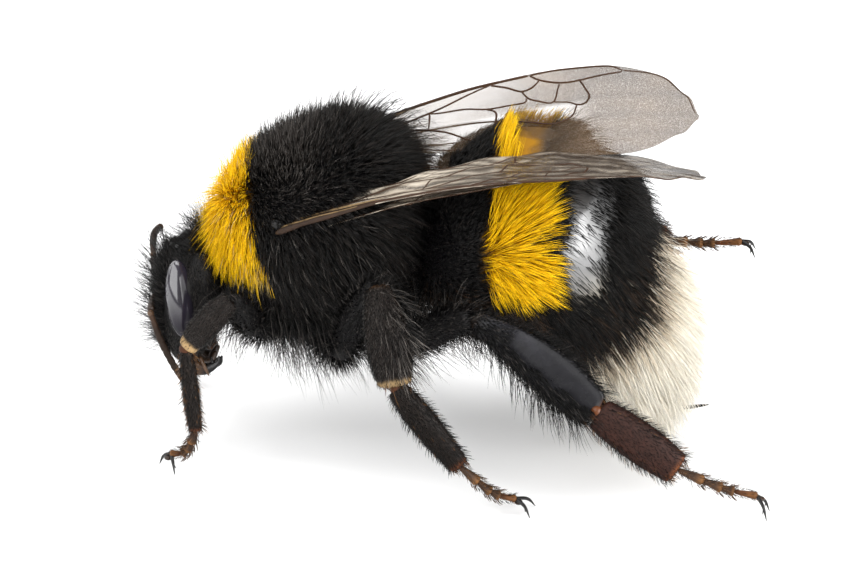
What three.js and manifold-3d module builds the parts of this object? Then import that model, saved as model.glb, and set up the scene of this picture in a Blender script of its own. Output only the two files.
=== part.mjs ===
// A buff-tailed bumblebee queen, Bombus terrestris, standing with wings laid back and one hind leg raised.
// Millimetres, +Z up, head towards -X, the bee's left side towards -Y.
// The solids reach out to the tips of the coat.
import * as THREE from "three";
import { mergeVertices } from "three/addons/utils/BufferGeometryUtils.js";
import Module from "manifold-3d";

const wasm = await Module();
wasm.setup();

// ---- Driving dimensions --------------------------------------------------------------------------

const CUT = 0.08; // the thin cut between two neighbouring pieces
const UP = new THREE.Vector3(0, 0, 1);
const LEFT = -1; // the sign of Y on the bee's left side
const RIGHT = 1;

const HEAD = { x: -9.45, z: 5.75, width: 5.3, height: 5.3, depth: 2.9 };
const EYE = { x: -9.55, y: 2.05, z: 6.5, width: 1.25, height: 3.25, depth: 1.4, tilt: 0.1 };
const THORAX = { x: -4.4, z: 9.15, length: 10.2 };
// Where one coat colour gives way to the next, each on a plane across the bee. lean is how far forward the
// plane lies for each mm down.
const COLLAR_END = { x: -5.95, z: 9.15, lean: -0.24 };
const YELLOW_END = { x: 6.1, z: 10, lean: 0.2 };
const WHITE_START = { x: 8.3, z: 6, lean: 0.95 };
const WING_THICK = 0.5;


// ---- Materials -----------------------------------------------------------------------------------

function material(color, roughness, opacity = 1) {
  return new THREE.MeshStandardMaterial({ color, roughness, opacity, transparent: opacity < 1 });
}
const blackFur = material(0x14110f, 0.9);
const yellowFur = material(0xe0ac0c, 0.85);
const whiteFur = material(0xded8c8, 0.85);
const shell = material(0x1c1612, 0.35);
const brownShell = material(0x6b3a1c, 0.45);
const eyeShell = material(0x17161a, 0.15);
const membrane = material(0x8a7a66, 0.3, 0.55);

// ---- Shape helpers -------------------------------------------------------------------------------

const at = (x, y, z) => new THREE.Vector3(x, y, z);
const through = (points) => new THREE.CatmullRomCurve3(points, false, "centripetal");

// A smooth function of t from 0 to 1 that passes through evenly spaced values.
function smooth(values) {
  const curve = new THREE.SplineCurve(values.map((v, i) => new THREE.Vector2(i, v)));
  return (t) => curve.getPoint(THREE.MathUtils.clamp(t, 0, 1)).y;
}

// A circle's quarter: how wide a rounded end is at a share s of its length.
const roundEnd = (s) => (s >= 1 ? 1 : Math.sqrt(Math.max(0, 1 - (1 - s) * (1 - s))));

// Keeps position alone and joins the vertices that lie together, so that the surface is closed.
function closed(geometry) {
  geometry.deleteAttribute("normal");
  geometry.deleteAttribute("uv");
  return mergeVertices(geometry, 1e-4);
}

// A lathe turned along a path. radii are evenly spaced along it and caps are the shares of its length that
// round off. Each section is scaled by wide sideways and by deep along up.
function swept({ path, radii, caps, wide = 1, deep = 1, up = UP, sides, steps, form }) {
  const radius = smooth(radii);
  const outline = [];
  for (let k = 0; k <= steps; k++) {
    const t = (1 - Math.cos((Math.PI * k) / steps)) / 2;
    outline.push(new THREE.Vector2(k === 0 || k === steps ? 0 : 1, t));
  }
  const geometry = new THREE.LatheGeometry(outline, sides);
  const place = geometry.getAttribute("position");
  for (let i = 0; i < place.count; i++) {
    const t = place.getY(i);
    const tangent = path.getTangent(t);
    const side = new THREE.Vector3().crossVectors(tangent, up).normalize();
    const normal = new THREE.Vector3().crossVectors(side, tangent);
    const r = radius(t) * roundEnd(t / caps[0]) * roundEnd((1 - t) / caps[1]);
    const across = place.getX(i) * r * wide;
    const along = place.getZ(i) * r * deep;
    const point = path.getPoint(t).addScaledVector(side, across).addScaledVector(normal, along);
    if (form) form(point, t, across, along);
    place.setXYZ(i, point.x, point.y, point.z);
  }
  return closed(geometry);
}

function ellipsoid({ centre, size, turn = [0, 0, 0], sides = 16, rings = 12 }) {
  const ball = new THREE.SphereGeometry(1, sides, rings);
  ball.scale(size[0] / 2, size[1] / 2, size[2] / 2);
  ball.rotateX(turn[0]).rotateY(turn[1]).rotateZ(turn[2]);
  ball.translate(centre.x, centre.y, centre.z);
  return closed(ball);
}

// ---- Solids --------------------------------------------------------------------------------------

function solid(geometry) {
  const mesh = new wasm.Mesh({
    numProp: 3,
    vertProperties: new Float32Array(geometry.getAttribute("position").array),
    triVerts: new Uint32Array(geometry.index.array),
  });
  return new wasm.Manifold(mesh);
}

// The same surface moved out by a gap, to cut a neighbour with.
function grown(geometry, gap = CUT) {
  const wider = geometry.clone();
  wider.computeVertexNormals();
  const place = wider.getAttribute("position");
  const normal = wider.getAttribute("normal");
  for (let i = 0; i < place.count; i++) {
    place.setXYZ(
      i,
      place.getX(i) + normal.getX(i) * gap,
      place.getY(i) + normal.getY(i) * gap,
      place.getZ(i) + normal.getZ(i) * gap,
    );
  }
  wider.deleteAttribute("normal");
  return wider;
}

function geometryOf(manifold) {
  const largest = manifold.decompose().reduce((a, b) => (a.volume() > b.volume() ? a : b));
  const mesh = largest.getMesh();
  const geometry = new THREE.BufferGeometry();
  geometry.setAttribute("position", new THREE.BufferAttribute(new Float32Array(mesh.vertProperties), 3));
  geometry.setIndex(new THREE.BufferAttribute(new Uint32Array(mesh.triVerts), 1));
  return geometry;
}

// The side of a solid that a plane's normal points to, half a cut away from the plane.
function beyond(manifold, point, normal) {
  const unit = normal.clone().normalize();
  return manifold.trimByPlane(unit.toArray(), unit.dot(point) + CUT / 2);
}

// What is left of a geometry once its grown neighbours are cut away.
function without(geometry, neighbours) {
  return geometryOf(neighbours.reduce((left, n) => left.subtract(solid(grown(n))), solid(geometry)));
}

// ---- The model -----------------------------------------------------------------------------------

const bee = new THREE.Group();

function add(name, geometry, material) {
  const mesh = new THREE.Mesh(geometry, material);
  mesh.name = name;
  bee.add(mesh);
  return geometry;
}

// Head: a capsule, a slim oval from the side, wide at the eyes, with a domed clypeus and a narrow mouth.
function headShape() {
  const { x, z, width, height, depth } = HEAD;
  const top = at(x + 0.15, 0, z + height / 2);
  const mouth = at(x + 0.05, 0, z - height / 2);
  return swept({
    path: through([top, at(x + 0.1, 0, z + 0.8), at(x, 0, z - 0.8), mouth]),
    radii: [1.1, 1.42, 1.42, 1.2, 0.8],
    caps: [0.42, 0.3],
    wide: width / depth,
    deep: 1,
    up: at(-1, 0, 0),
    sides: 18,
    steps: 11,
    form: (point) => {
      const low = THREE.MathUtils.smoothstep(z + 0.4 - point.z, 0, 2.6);
      point.y *= 1 - 0.36 * low;
      if (point.x < x) point.x -= 0.3 * low * Math.max(0, 1 - Math.abs(point.y) / 1.4);
    },
  });
}

function eyeShape(side) {
  const { x, y, z, width, height, depth, tilt } = EYE;
  return ellipsoid({
    centre: at(x, side * y, z),
    size: [width, depth, height],
    turn: [side * -0.16, -tilt, 0],
    sides: 12,
    rings: 8,
  });
}

function mandibleShape(side) {
  const { x, z, height } = HEAD;
  const low = z - height / 2;
  return swept({
    path: through([
      at(x + 0.1, side * 1.05, low + 0.6),
      at(x + 0.1, side * 0.95, low - 0.0),
      at(x + 0.55, side * 0.65, low - 0.4),
      at(x + 1.15, side * 0.36, low - 0.25),
    ]),
    radii: [0.36, 0.42, 0.36, 0.22],
    caps: [0.2, 0.3],
    deep: 0.75,
    up: at(0, side, 0),
    sides: 7,
    steps: 6,
  });
}

// Antenna: the stiff scape and the jointed flagellum, as one path that bends at the elbow.
const ANTENNA = {
  [LEFT]: {
    scape: [at(-10.4, -0.6, 6.1), at(-10.75, -1.15, 6.2), at(-10.8, -1.85, 5.85)],
    flagellum: [at(-10.75, -1.98, 5.7), at(-10.35, -2.2, 4.75), at(-9.8, -2.4, 3.75), at(-9.35, -2.3, 3.0)],
  },
  [RIGHT]: {
    scape: [at(-10.45, 0.62, 5.95), at(-10.95, 1.1, 6.2), at(-11.15, 1.7, 6.75)],
    flagellum: [at(-11.15, 1.88, 6.9), at(-11.1, 2.8, 7.1), at(-10.95, 3.8, 7.15), at(-10.75, 4.8, 7.05)],
  },
};
const SCAPE_RADIUS = 0.25;
const FLAGELLUM_RADIUS = 0.25;

function scapeShape(side) {
  const radii = [SCAPE_RADIUS, SCAPE_RADIUS, SCAPE_RADIUS * 1.1];
  return swept({ path: through(ANTENNA[side].scape), radii, caps: [0.12, 0.12], sides: 8, steps: 6 });
}

function flagellumShape(side) {
  const radii = [0.9, 1, 1.05, 1.1, 1].map((r) => r * FLAGELLUM_RADIUS);
  return swept({ path: through(ANTENNA[side].flagellum), radii, caps: [0.06, 0.1], sides: 7, steps: 9 });
}

// Thorax: an egg out to the hair tips, fullest behind, over the scutellum.
function thoraxShape() {
  const { x, z, length } = THORAX;
  const front = at(x - length / 2, 0, z - 0.4);
  const back = at(x + length / 2, 0, z + 0.2);
  return swept({
    path: through([front, at(x - 2, 0, z - 0.2), at(x + 2, 0, z + 0.1), back]),
    radii: [4.05, 4.7, 5.15, 5.2],
    caps: [0.45, 0.34],
    wide: 0.95,
    sides: 24,
    steps: 15,
  });
}

// Abdomen: an egg whose axis bends down towards the tip.
const ABDOMEN = {
  path: [[-0.3, 8.05], [2.0, 8.15], [4.3, 9.4], [6.3, 7.6], [8.1, 5.6], [9.2, 3.0], [9.55, 0.75]],
  radii: [2.6, 3.9, 4.9, 4.1, 3.45, 2.5, 1.6],
};

const abdomenAxis = through(ABDOMEN.path.map(([x, z]) => at(x, 0, z)));

function abdomenShape() {
  return swept({
    path: abdomenAxis,
    radii: ABDOMEN.radii,
    caps: [0.16, 0.16],
    sides: 24,
    steps: 17,
  });
}

// Wings: a grid between a leading and a trailing edge, laid back from the base, arched along its length
// and tilted up towards the leading edge. Edge points are shares of the length: along it, then across it.
const FOREWING = {
  length: 16.4,
  lead: [[0, 0], [0.2, -0.015], [0.5, -0.02], [0.74, -0.012], [0.88, 0.03], [0.96, 0.09], [1, 0.17]],
  trail: [[0, 0.035], [0.2, 0.11], [0.42, 0.235], [0.62, 0.315], [0.8, 0.335], [0.93, 0.28], [1, 0.19]],
};
const HINDWING = {
  length: 11.4,
  lead: [[0, 0.02], [0.3, 0.01], [0.6, 0.03], [0.85, 0.09], [1, 0.2]],
  trail: [[0, 0.06], [0.3, 0.2], [0.55, 0.32], [0.85, 0.34], [1, 0.23]],
  drop: 0.6,
  turn: -0.14, // how much further towards the midline it is laid than the forewing
};
const WING = {
  [LEFT]: { base: at(-4.95, -3.45, 10.4), sweep: 0.3, rise: [0.474, -0.0146], tilt: 0.14 },
  [RIGHT]: { base: at(-5.5, 3.45, 10.35), sweep: 0, rise: [0.608, -0.0201], tilt: 0.267 },
};

function wingShape({ lead, trail, length, side, base, sweep, rise, tilt, drop = 0, turn = 0 }) {
  const flat = ([along, across]) => new THREE.Vector2(along * length, across * length);
  const edge = (points) => new THREE.SplineCurve(points.map(flat));
  const front = edge(lead);
  const back = edge(trail);
  const angle = sweep + turn;
  const plate = new THREE.BoxGeometry(1, 1, 1, 12, 2, 1);
  const place = plate.getAttribute("position");
  for (let i = 0; i < place.count; i++) {
    const t = place.getX(i) + 0.5;
    const across = side < 0 ? place.getY(i) + 0.5 : 0.5 - place.getY(i);
    const point = front.getPoint(t).lerp(back.getPoint(t), across);
    const lift = rise[0] * point.x + rise[1] * point.x ** 2 - Math.tan(tilt) * point.y - drop;
    place.setXYZ(
      i,
      base.x + point.x * Math.cos(angle) + point.y * Math.sin(angle),
      base.y + side * (point.x * Math.sin(angle) - point.y * Math.cos(angle)),
      base.z + lift + place.getZ(i) * WING_THICK,
    );
  }
  return closed(plate);
}

// ---- Legs ----------------------------------------------------------------------------------------
// Each leg is a chain of joints: coxa, trochanter, knee, ankle, heel and the end of the tarsus, which
// passes through a bend. The claws follow, and end on small flats at floor level.

const LEGS = {
  front_left: {
    side: LEFT,
    build: "front",
    joints: [
      [-6.2, -1.2, 5.6],
      [-6.6, -2.4, 5.6],
      [-7.24, -3.9, 7.35],
      [-9.1, -4.1, 5.2],
      [-8.7, -4.3, 1.75],
      [-9.75, -4.15, 0.66],
    ],
    bend: [-9.1, -4.2, 0.85],
    toes: [[-10.25, -3.7, 0], [-9.5, -4.75, 0]],
  },
  mid_left: {
    side: LEFT,
    build: "mid",
    joints: [
      [-3.4, -1.6, 5.0],
      [-3.0, -2.8, 4.9],
      [-1.3, -5.2, 8.75],
      [-0.42, -6.75, 5.01],
      [2.21, -7.4, 2.02],
      [4.4, -7.1, 0.62],
    ],
    bend: [3.5, -7.35, 0.95],
    toes: [[5.1, -6.35, 0], [5.0, -7.6, 0]],
  },
  hind_left: {
    side: LEFT,
    build: "hind",
    joints: [
      [-1.2, -1.6, 5.4],
      [-0.6, -2.8, 5.2],
      [2.4, -4.7, 7.27],
      [7.48, -5.9, 3.97],
      [10.73, -6.3, 1.8],
      [13.9, -6.35, 0.85],
    ],
    bend: [12.6, -6.35, 1.1],
    toes: [[14.35, -5.9, 0], [14.3, -6.9, 0]],
  },
  front_right: {
    side: RIGHT,
    build: "front",
    joints: [
      [-6.2, 1.2, 5.6],
      [-6.6, 2.4, 5.6],
      [-7.3, 3.9, 7.3],
      [-9.2, 4.2, 5.0],
      [-9.25, 4.35, 1.75],
      [-9.7, 5.0, 0.66],
    ],
    bend: [-9.5, 4.6, 0.9],
    toes: [[-10.2, 5.35, 0], [-9.4, 5.7, 0]],
  },
  mid_right: {
    side: RIGHT,
    build: "mid",
    joints: [
      [-3.4, 1.6, 5.0],
      [-3.0, 2.8, 4.9],
      [-1.9, 5.2, 8.6],
      [-1.9, 6.7, 5.0],
      [-2.3, 7.2, 1.9],
      [-2.6, 8.4, 0.62],
    ],
    bend: [-2.45, 7.7, 0.95],
    toes: [[-3.1, 8.95, 0], [-2.1, 9.1, 0]],
  },
  hind_right: {
    side: RIGHT,
    build: "hind",
    joints: [
      [-1.2, 1.6, 5.4],
      [-0.6, 2.8, 5.2],
      [2.0, 5.3, 7.3],
      [6.3, 6.1, 7.15],
      [9.35, 5.3, 6.9],
      [12.4, 5.1, 7.05],
    ],
    bend: [10.9, 5.15, 6.9],
    toes: [[12.95, 4.65, 6.5], [12.9, 5.65, 6.5]],
  },
};

// Half widths of each segment out to the hair tips, seen from the side, at even steps, and its thickness.
const SEGMENTS = {
  front: {
    coxa: { radii: [0.95, 0.95, 0.8], deep: 1 },
    femur: { radii: [0.5, 0.72, 0.66, 0.5], deep: 0.85 },
    tibia: { radii: [0.48, 0.62, 0.68, 0.6], deep: 0.75 },
    basitarsus: { radii: [0.34, 0.46, 0.46, 0.32], deep: 0.7 },
    tarsus: { radii: [0.3, 0.27, 0.25, 0.27], deep: 1 },
  },
  mid: {
    coxa: { radii: [1.05, 1.05, 0.85], deep: 1 },
    femur: { radii: [0.55, 0.8, 0.74, 0.55], deep: 0.8 },
    tibia: { radii: [0.5, 0.82, 0.95, 0.72], deep: 0.6 },
    basitarsus: { radii: [0.45, 0.66, 0.62, 0.4], deep: 0.5 },
    tarsus: { radii: [0.32, 0.3, 0.27, 0.28], deep: 1 },
  },
  hind: {
    coxa: { radii: [1.1, 1.1, 0.9], deep: 1 },
    femur: { radii: [0.6, 0.95, 0.85, 0.6], deep: 0.7 },
    tibia: { radii: [0.5, 0.9, 1.15, 1.2, 0.85], deep: 0.42 },
    basitarsus: { radii: [0.7, 0.88, 0.84, 0.45], deep: 0.42 },
    tarsus: { radii: [0.34, 0.3, 0.27, 0.28], deep: 1 },
  },
};
const SEGMENT_NAMES = ["coxa", "femur", "tibia", "basitarsus", "tarsus"];
const CLAW = { radius: 0.26, tip: 0.17, arch: 0.42 };

function segmentShape(leg, name) {
  const index = SEGMENT_NAMES.indexOf(name);
  const [start, end] = [leg.joints[index], leg.joints[index + 1]].map((p) => at(...p));
  const { radii, deep } = SEGMENTS[leg.build][name];
  const outward = at(0, leg.side, 0.25);
  const bow = name === "tibia" || name === "femur" ? 0.035 : 0;
  const halfway = start.clone().lerp(end, 0.5).addScaledVector(UP, bow * start.distanceTo(end));
  const middle = name === "tarsus" ? at(...leg.bend) : halfway;
  return swept({
    path: through([start, middle, end]),
    radii,
    caps: name === "coxa" ? [0.4, 0.4] : [0.1, 0.1],
    deep,
    up: name === "coxa" ? UP : outward,
    sides: name === "coxa" || name === "tarsus" ? 6 : 8,
    steps: name === "tibia" ? 7 : 6,
  });
}

// Two hooked claws and the pad between them. Each claw arches out of the last tarsomere and down to its toe.
function clawsShape(leg) {
  const heel = at(...leg.joints[4]);
  const end = at(...leg.joints[5]);
  const along = end.clone().sub(heel).normalize();
  const root = end.clone().addScaledVector(along, -0.12);
  const parts = leg.toes.map((toe) => {
    const tip = at(...toe);
    const crest = root.clone().lerp(tip, 0.62).addScaledVector(UP, CLAW.arch * 0.55);
    const past = tip.clone().addScaledVector(UP, -CLAW.tip * 0.9);
    return solid(
      swept({
        path: through([root, crest, past]),
        radii: [CLAW.radius, CLAW.radius * 0.92, CLAW.tip],
        caps: [0.12, 0.04],
        up: at(-along.y, along.x, 0),
        sides: 5,
        steps: 4,
      }),
    );
  });
  const padCentre = end.clone().addScaledVector(along, 0.16);
  const pad = solid(ellipsoid({ centre: padCentre, size: [0.6, 0.6, 0.46], sides: 6, rings: 4 }));
  const joined = parts[0].add(parts[1]).add(pad);
  return geometryOf(joined.trimByPlane([0, 0, 1], 0));
}

// Sting: a thin dark spike straight back from the tip of the abdomen.
function stingShape() {
  return swept({
    path: through([at(9.6, 0, 1.95), at(10.6, 0, 1.88), at(11.55, 0, 1.95)]),
    radii: [0.27, 0.27, 0.22],
    caps: [0.1, 0.3],
    sides: 6,
    steps: 5,
  });
}

// ---- Body pieces ---------------------------------------------------------------------------------

const head = headShape();
const eyes = [LEFT, RIGHT].map(eyeShape);
const thoraxWhole = thoraxShape();
const abdomenWhole = abdomenShape();

const headCut = without(head, eyes);
const thoraxCut = without(thoraxWhole, [head]);
const behind = (manifold, { x, z, lean }) => beyond(manifold, at(x, 0, z), at(1, 0, -lean));
const ahead = (manifold, { x, z, lean }) => beyond(manifold, at(x, 0, z), at(-1, 0, lean));
const collar = geometryOf(ahead(solid(thoraxCut), COLLAR_END));
const thorax = geometryOf(behind(solid(thoraxCut), COLLAR_END));

const SIDES = { left: LEFT, right: RIGHT };
const forewings = Object.values(SIDES).map((side) => wingShape({ ...FOREWING, ...WING[side], side }));
const hindwings = Object.values(SIDES).map((side) => wingShape({ ...HINDWING, ...WING[side], side }));

// The abdomen in three bands. The forewings press into its coat.
const abdomenCut = solid(without(abdomenWhole, [thoraxWhole, ...forewings]));

add("head", headCut, blackFur);
add("eye_left", eyes[0], eyeShell);
add("eye_right", eyes[1], eyeShell);
add("thorax_collar", collar, yellowFur);
add("thorax", thorax, blackFur);
add("abdomen_front", geometryOf(ahead(abdomenCut, YELLOW_END)), yellowFur);
add("abdomen_middle", geometryOf(ahead(behind(abdomenCut, YELLOW_END), WHITE_START)), blackFur);
add("abdomen_tail", geometryOf(behind(abdomenCut, WHITE_START)), whiteFur);
add("sting", without(stingShape(), [abdomenWhole]), shell);

const torso = [head, ...eyes, thoraxWhole, abdomenWhole];

for (const [index, [word, side]] of Object.entries(SIDES).entries()) {
  add(`mandible_${word}`, without(mandibleShape(side), [head]), shell);
  const scape = scapeShape(side);
  add(`antenna_scape_${word}`, without(scape, [head]), brownShell);
  add(`antenna_flagellum_${word}`, without(flagellumShape(side), [scape, head]), brownShell);
  const over = side === LEFT ? [forewings[1]] : [];
  const overBoth = side === LEFT ? [...forewings, hindwings[1]] : forewings;
  add(`forewing_${word}`, without(forewings[index], [thoraxWhole, ...over]), membrane);
  add(`hindwing_${word}`, without(hindwings[index], [...overBoth, thoraxWhole, abdomenWhole]), membrane);
}

for (const [name, leg] of Object.entries(LEGS)) {
  let previous = null;
  for (const segment of SEGMENT_NAMES) {
    const shape = segmentShape(leg, segment);
    const neighbours = previous ? [...torso, previous] : torso;
    const near = segment === "tarsus" || segment === "basitarsus" ? [previous] : neighbours;
    add(`${segment}_${name}`, without(shape, near), segment === "tarsus" ? brownShell : blackFur);
    previous = shape;
  }
  add(`claws_${name}`, without(clawsShape(leg), [previous]), shell);
}

// The origin is at floor level, under the middle of the box around the bee.
const extent = new THREE.Box3().setFromObject(bee);
const middle = extent.getCenter(new THREE.Vector3());
bee.position.set(-middle.x, -middle.y, -extent.min.z);

export default bee;
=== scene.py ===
"""The looks of a buff-tailed bumblebee queen, Bombus terrestris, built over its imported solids.

Lengths are bee millimetres: +Z up with the floor at 0, head towards -X, the bee's left side towards -Y.
to_frame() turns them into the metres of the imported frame.
"""

import copy
import math

import bpy
import numpy as np
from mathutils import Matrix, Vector
from mathutils.bvhtree import BVHTree
from mathutils.kdtree import KDTree


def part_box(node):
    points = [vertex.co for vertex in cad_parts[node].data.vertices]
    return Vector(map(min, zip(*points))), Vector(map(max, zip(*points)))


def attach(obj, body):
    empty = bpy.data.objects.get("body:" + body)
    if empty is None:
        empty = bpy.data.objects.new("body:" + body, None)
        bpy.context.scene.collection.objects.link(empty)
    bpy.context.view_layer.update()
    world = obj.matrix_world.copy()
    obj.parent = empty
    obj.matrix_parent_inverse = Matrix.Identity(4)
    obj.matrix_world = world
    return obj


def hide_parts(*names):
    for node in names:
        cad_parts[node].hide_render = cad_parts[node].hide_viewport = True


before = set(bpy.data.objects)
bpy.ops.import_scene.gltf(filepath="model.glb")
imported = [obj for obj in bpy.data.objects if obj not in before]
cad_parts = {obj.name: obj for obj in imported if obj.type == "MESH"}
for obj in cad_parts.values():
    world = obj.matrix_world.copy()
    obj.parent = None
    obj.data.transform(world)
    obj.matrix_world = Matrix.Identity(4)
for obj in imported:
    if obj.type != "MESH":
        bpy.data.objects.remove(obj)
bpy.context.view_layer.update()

# ---- Units ---------------------------------------------------------------------------------------

MM = 0.001
LEFT, RIGHT = -1, 1
SIDES = {"left": LEFT, "right": RIGHT}
EYES_MIDDLE = np.array([-9.55, 0.0, 6.5])  # midway between the two eyes' centres


def bee_origin():
    """Where the frame's origin lies in bee millimetres, read from the eyes' solids."""
    corners = [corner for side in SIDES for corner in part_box(f"eye_{side}")]
    return EYES_MIDDLE - np.mean([tuple(c) for c in corners], axis=0) / MM


ORIGIN = bee_origin()


def to_frame(points):
    return (np.asarray(points, float) - ORIGIN) * MM


# ---- Small maths ---------------------------------------------------------------------------------

TAU = 2 * math.pi


def unit(v):
    return v / np.maximum(np.linalg.norm(v, axis=-1, keepdims=True), 1e-9)


def stack(*columns):
    """Points or faces from their columns; a column may be one number."""
    return np.stack(np.broadcast_arrays(*columns), axis=-1)


def spline(values, t):
    """A smooth curve through evenly spaced values, at the shares t of its length."""
    values = np.asarray(values, float)
    keys = np.concatenate([[2 * values[0] - values[1]], values, [2 * values[-1] - values[-2]]])
    place = np.clip(t, 0, 1) * (len(values) - 1)
    i = np.minimum(place.astype(int), len(values) - 2)
    f = place - i
    if values.ndim > 1:
        f = f[..., None]
    a, b, c, d = keys[i], keys[i + 1], keys[i + 2], keys[i + 3]
    bend = (2 * a - 5 * b + 4 * c - d) * f**2 + (3 * b - a - 3 * c + d) * f**3
    return b + 0.5 * ((c - a) * f + bend)


def step(low, high, x):
    """0 below low, 1 above high, smooth between."""
    s = np.clip((x - low) / (high - low), 0, 1)
    return s * s * (3 - 2 * s)


def mix(a, b, share):
    share = np.asarray(share)[..., None]
    return np.asarray(a) * (1 - share) + np.asarray(b) * share


def round_end(s):
    """How wide a rounded end is at a share s of its length."""
    return np.sqrt(np.clip(1 - (1 - np.clip(s, 0, 1)) ** 2, 0, 1))


def ripple(points, size, seed):
    """A smooth random field from about -1 to 1, with waves about size millimetres long."""
    rng = np.random.default_rng(seed)
    total = 0
    for _ in range(5):
        wave = unit(rng.normal(size=3)) * TAU / (size * rng.uniform(0.7, 1.5))
        total = total + np.sin(points @ wave + rng.uniform(0, TAU))
    return total / 2.5


class Loft:
    """A tapering tube round a bent path.

    t is the share along it and a the angle round it: 0 on its back, a quarter turn on its side. wide is its
    half width, up and down are its half heights towards and away from back, at even steps.
    """

    NUDGE = 0.004  # the change of t or a over which a direction is measured

    def __init__(self, path, wide, up, down=None, caps=(0.1, 0.1), back=(0, 0, 1)):
        self.path = np.array(path, float)
        self.wide = wide
        self.up = up
        self.down = up if down is None else down
        self.caps = caps
        self.back = np.array(back, float)

    def axes(self, t):
        ahead = unit(spline(self.path, t + self.NUDGE) - spline(self.path, t - self.NUDGE))
        side = unit(np.cross(self.back, ahead))
        return ahead, side, np.cross(ahead, side)

    def at(self, t, a):
        _, side, up = self.axes(t)
        ends = round_end(t / self.caps[0]) * round_end((1 - t) / self.caps[1])
        height = np.where(np.cos(a) > 0, spline(self.up, t), spline(self.down, t))
        across = side * (spline(self.wide, t) * ends * np.sin(a))[..., None]
        return spline(self.path, t) + across + up * (height * ends * np.cos(a))[..., None]

    def normal(self, t, a):
        inner = np.clip(t, 0.01, 0.99)
        along = self.at(inner + self.NUDGE, a) - self.at(inner - self.NUDGE, a)
        around = self.at(inner, a + self.NUDGE) - self.at(inner, a - self.NUDGE)
        return unit(np.cross(along, around))

    def surface(self, steps, sides):
        """Its points and faces, closed at both ends."""
        t = (1 - np.cos(np.pi * np.arange(1, steps) / steps)) / 2
        a = np.arange(sides) * TAU / sides
        rings = self.at(np.repeat(t, sides), np.tile(a, steps - 1))
        poles = self.at(np.array([0.0, 1.0]), np.zeros(2))
        return np.concatenate([rings, poles]), tube_faces(steps - 1, sides)


def slab_faces(rows, columns):
    """The faces of a closed slab: a grid of points for its top, then the same grid for its underside."""
    i, j = (g.ravel() for g in np.meshgrid(np.arange(rows - 1), np.arange(columns - 1), indexing="ij"))
    k = i * columns + j
    top = stack(k, k + columns, k + columns + 1, k + 1)
    count = rows * columns
    last = count - 1
    ring = np.concatenate([
        np.arange(columns - 1),
        np.arange(columns - 1, last, columns),
        np.arange(last, last + 1 - columns, -1),
        np.arange(last + 1 - columns, 0, -columns),
    ])
    after = np.roll(ring, -1)
    rim = stack(ring, after, after + count, ring + count)
    return [top, top[:, ::-1] + count, rim]


def tube_faces(rings, sides):
    """The faces of a tube of rings, with a pole at either end numbered after them."""
    here = np.arange(sides)
    after = (here + 1) % sides
    rows = (np.arange(rings - 1) * sides)[:, None]
    quads = stack(rows + here, rows + sides + here, rows + sides + after, rows + after)
    first, last = rings * sides, rings * sides + 1
    end = (rings - 1) * sides
    start_cap = stack(first, here, after)
    end_cap = stack(end + here, last, end + after)
    return [quads.reshape(-1, 4), start_cap, end_cap]


def tube(path, radii, flat=1.0, caps=(0.06, 0.06), back=(0, 0, 1), steps=16, sides=10):
    """Points and faces of a tapering tube; flat is its thickness as a share of its width."""
    radii = np.array(radii, float)
    return Loft(path, radii, radii * flat, caps=caps, back=back).surface(steps, sides)


def ball(centre, radii, steps=16, sides=24, turn=(0, 0, 0)):
    """Points and faces of an ellipsoid, turned about X, Y and Z."""
    theta = np.pi * np.arange(1, steps) / steps
    a = np.arange(sides) * TAU / sides
    rows = np.repeat(theta, sides)
    cols = np.tile(a, steps - 1)
    round_it = stack(np.sin(rows) * np.cos(cols), np.sin(rows) * np.sin(cols), -np.cos(rows))
    points = np.concatenate([round_it, [[0, 0, -1], [0, 0, 1]]]) * radii
    for axis, angle in enumerate(turn):
        i, j = (axis + 1) % 3, (axis + 2) % 3
        c, s = math.cos(angle), math.sin(angle)
        pi, pj = points[:, i].copy(), points[:, j].copy()
        points[:, i], points[:, j] = c * pi - s * pj, s * pi + c * pj
    faces = [f[:, ::-1] for f in tube_faces(steps - 1, sides)]
    return points + centre, faces


# ---- Meshes --------------------------------------------------------------------------------------


class Shape:
    """Points and faces gathered from several parts, with a colour for each point."""

    def __init__(self):
        self.points = []
        self.faces = []
        self.tones = []
        self.count = 0

    def add(self, part, tone=(1, 1, 1)):
        points, faces = part
        self.points.append(points)
        self.faces += [f + self.count for f in faces]
        self.tones.append(np.broadcast_to(tone, points.shape))
        self.count += len(points)
        return self


def fill_mesh(mesh, points, faces):
    corners = np.concatenate([f.ravel() for f in faces]).astype(np.int32)
    sizes = np.concatenate([np.full(len(f), f.shape[1]) for f in faces])
    starts = np.concatenate([[0], np.cumsum(sizes)[:-1]]).astype(np.int32)
    mesh.vertices.add(len(points))
    mesh.vertices.foreach_set("co", np.asarray(points, np.float32).ravel())
    mesh.loops.add(len(corners))
    mesh.loops.foreach_set("vertex_index", corners)
    mesh.polygons.add(len(starts))
    mesh.polygons.foreach_set("loop_start", starts)
    mesh.update(calc_edges=True)
    mesh.polygons.foreach_set("use_smooth", np.ones(len(starts), bool))
    return corners


def put(name, data):
    """Adds an object to the scene."""
    made = bpy.data.objects.new(name, data)
    bpy.context.scene.collection.objects.link(made)
    return made


def paint(mesh, name, rgba):
    """Stores four numbers for each point of a mesh, for its material to read by this name."""
    layer = mesh.color_attributes.new(name, "FLOAT_COLOR", "POINT")
    layer.data.foreach_set("color", np.asarray(rgba, np.float32).ravel())


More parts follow.
